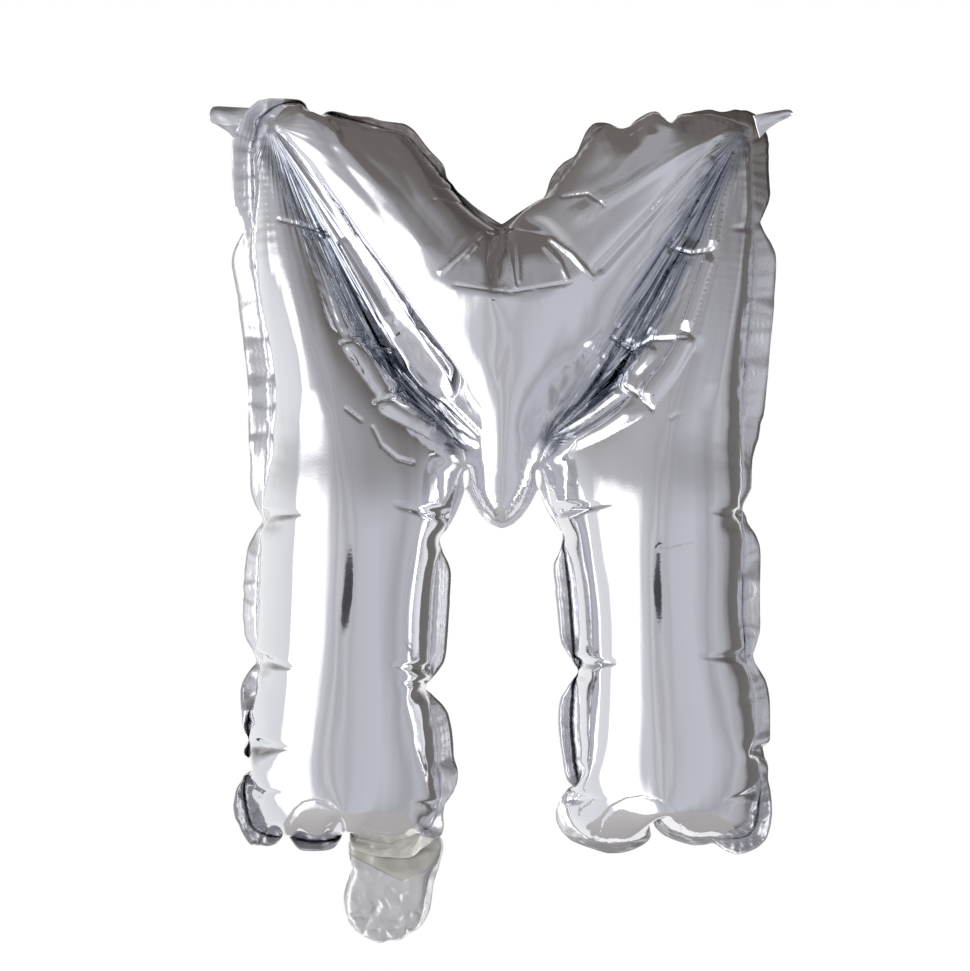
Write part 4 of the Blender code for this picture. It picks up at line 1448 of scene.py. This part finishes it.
def studio_camera():
    """The camera at the photograph's angle: level, straight at the letter."""
    lens = bpy.data.cameras.new("camera")
    camera = placed("camera", lens)
    camera.location = (CAMERA_X, -CAMERA_AWAY, CAMERA_Z)
    camera.rotation_euler = (math.pi / 2, 0, 0)
    lens.angle = math.radians(CAMERA_ANGLE)
    bpy.context.scene.camera = camera


def left_light():
    """A soft lamp at the front left, for the matt film and the floor."""
    lamp = bpy.data.lights.new("softbox", "AREA")
    lamp.energy = LAMP_POWER
    lamp.size = LAMP_SIZE
    holder = placed("softbox", lamp)
    holder.location = LAMP_PLACE
    holder.rotation_euler = Vector(LAMP_AIM).to_track_quat("-Z", "Y").to_euler()
    holder.visible_glossy = False


class BALLOON_OT_envelope(bpy.types.Operator):
    """Blow up the letter and make its front sheet, back sheet and welded border"""
    bl_idname = "balloon.envelope"
    bl_label = "Letter"

    def execute(self, context):
        foil_look = context.scene.balloon_foil
        foil = blown_letter(foil_look.border / MM)
        outline = mirrored_outline(LETTER_CUT, TOP_CORNER, WELD_SPACING)
        foil = finer_at_folds(foil)
        marks = add_relief(foil, outline, foil_look.pleat, foil_look.crimp / MM)
        silver = pleated_foil("silver_foil", foil_look.tint, foil_look.gloss)
        welded = welded_foil("welded_foil", foil_look.tint, foil_look.gloss + WELD_ROUGHER)
        front = foil_piece("front_foil", foil, 0, marks, silver)
        back = foil_piece("back_foil", foil, 1, marks, silver)
        border = thicken(foil_piece("border_foil", foil, 2, marks[:1], welded), BORDER_THICKNESS * MM)
        pieces = ((front, "front_panel", "silver_foil"), (back, "back_panel", "silver_foil"),
                  (border, "seam_border", "welded_foil"))
        for piece, node, slot in pieces:
            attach(piece, "envelope")
            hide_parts(node)
        return {"FINISHED"}


class BALLOON_OT_tail(bpy.types.Operator):
    """Make the tail: its two foil layers and the valve film between them"""
    bl_idname = "balloon.tail"
    bl_label = "Tail"

    def execute(self, context):
        foil = blown_tail()
        dull = film_sheet("tail_foil", *TAIL_FOIL_LOOK)
        milky = film_sheet("valve_film", *VALVE_FILM_LOOK)
        marks = [np.ones(len(foil.flat))]
        pieces = (("tail_front_sheet", 0, "tail_front_foil", "silver_foil", dull),
                  ("tail_back_sheet", 1, "tail_back_foil", "silver_foil", dull),
                  ("tail_film", 2, "tail_valve_film", "valve_film", milky))
        for name, part, node, slot, material in pieces:
            piece = foil_piece(name, foil, part, marks, material)
            if part == 2:
                thicken(piece, BORDER_THICKNESS * MM)
            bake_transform(piece)
            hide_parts(node)
        return {"FINISHED"}


class BALLOON_OT_tabs(bpy.types.Operator):
    """Make the two curled hanging tabs at the top corners"""
    bl_idname = "balloon.tabs"
    bl_label = "Hanging tabs"

    def execute(self, context):
        foil_look = context.scene.balloon_foil
        material = mirror_foil("tab_foil", foil_look.tint, foil_look.gloss + WELD_ROUGHER, TAB_CRUMPLE)
        left = tongue("left_tab_strip", *LEFT_TAB, LEFT_TAB_EDGES, LEFT_TAB_CURL, material)
        right = tongue("right_tab_strip", *RIGHT_TAB, RIGHT_TAB_EDGES, RIGHT_TAB_CURL, material)
        for piece, node, body, side in ((left, "left_hanging_tab", "left_tab", -1),
                                        (right, "right_hanging_tab", "right_tab", 1)):
            side * TAB_BEND_START
            side * TAB_BEND_END
            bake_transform(piece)
            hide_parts(node)
        return {"FINISHED"}


class BALLOON_OT_stage(bpy.types.Operator):
    """Set up the floor, the light, the surroundings and the camera"""
    bl_idname = "balloon.stage"
    bl_label = "Studio"

    def execute(self, context):
        studio = context.scene.balloon_studio
        pale_floor(studio.floor)
        studio_world(studio.softbox, studio.room)
        left_light()
        studio_camera()
        context.scene.view_settings.view_transform = "Standard"
        return {"FINISHED"}


class BALLOON_PT_panel(bpy.types.Panel):
    """Lists the balloon's sizes and its pieces."""
    bl_label = "Letter foil balloon"
    bl_idname = "BALLOON_PT_panel"
    bl_space_type = "VIEW_3D"
    bl_region_type = "UI"
    bl_category = "Balloon"

    def draw(self, context):
        for group in (context.scene.balloon_foil, context.scene.balloon_studio):
            for name in group.__annotations__:
                self.layout.prop(group, name)
        for operator in PIECES:
            self.layout.operator(operator.bl_idname)


PIECES = (BALLOON_OT_envelope, BALLOON_OT_tail, BALLOON_OT_tabs, BALLOON_OT_stage)
CLASSES = (BalloonFoil, BalloonStudio, *PIECES, BALLOON_PT_panel)


def register():
    for one in CLASSES:
        bpy.utils.register_class(one)
    bpy.types.Scene.balloon_foil = bpy.props.PointerProperty(type=BalloonFoil)
    bpy.types.Scene.balloon_studio = bpy.props.PointerProperty(type=BalloonStudio)


def unregister():
    del bpy.types.Scene.balloon_foil
    del bpy.types.Scene.balloon_studio
    for one in reversed(CLASSES):
        bpy.utils.unregister_class(one)


def main():
    register()
    bpy.ops.balloon.stage()
    bpy.ops.balloon.envelope()
    bpy.ops.balloon.tail()
    bpy.ops.balloon.tabs()


if __name__ == "__main__":
    main()
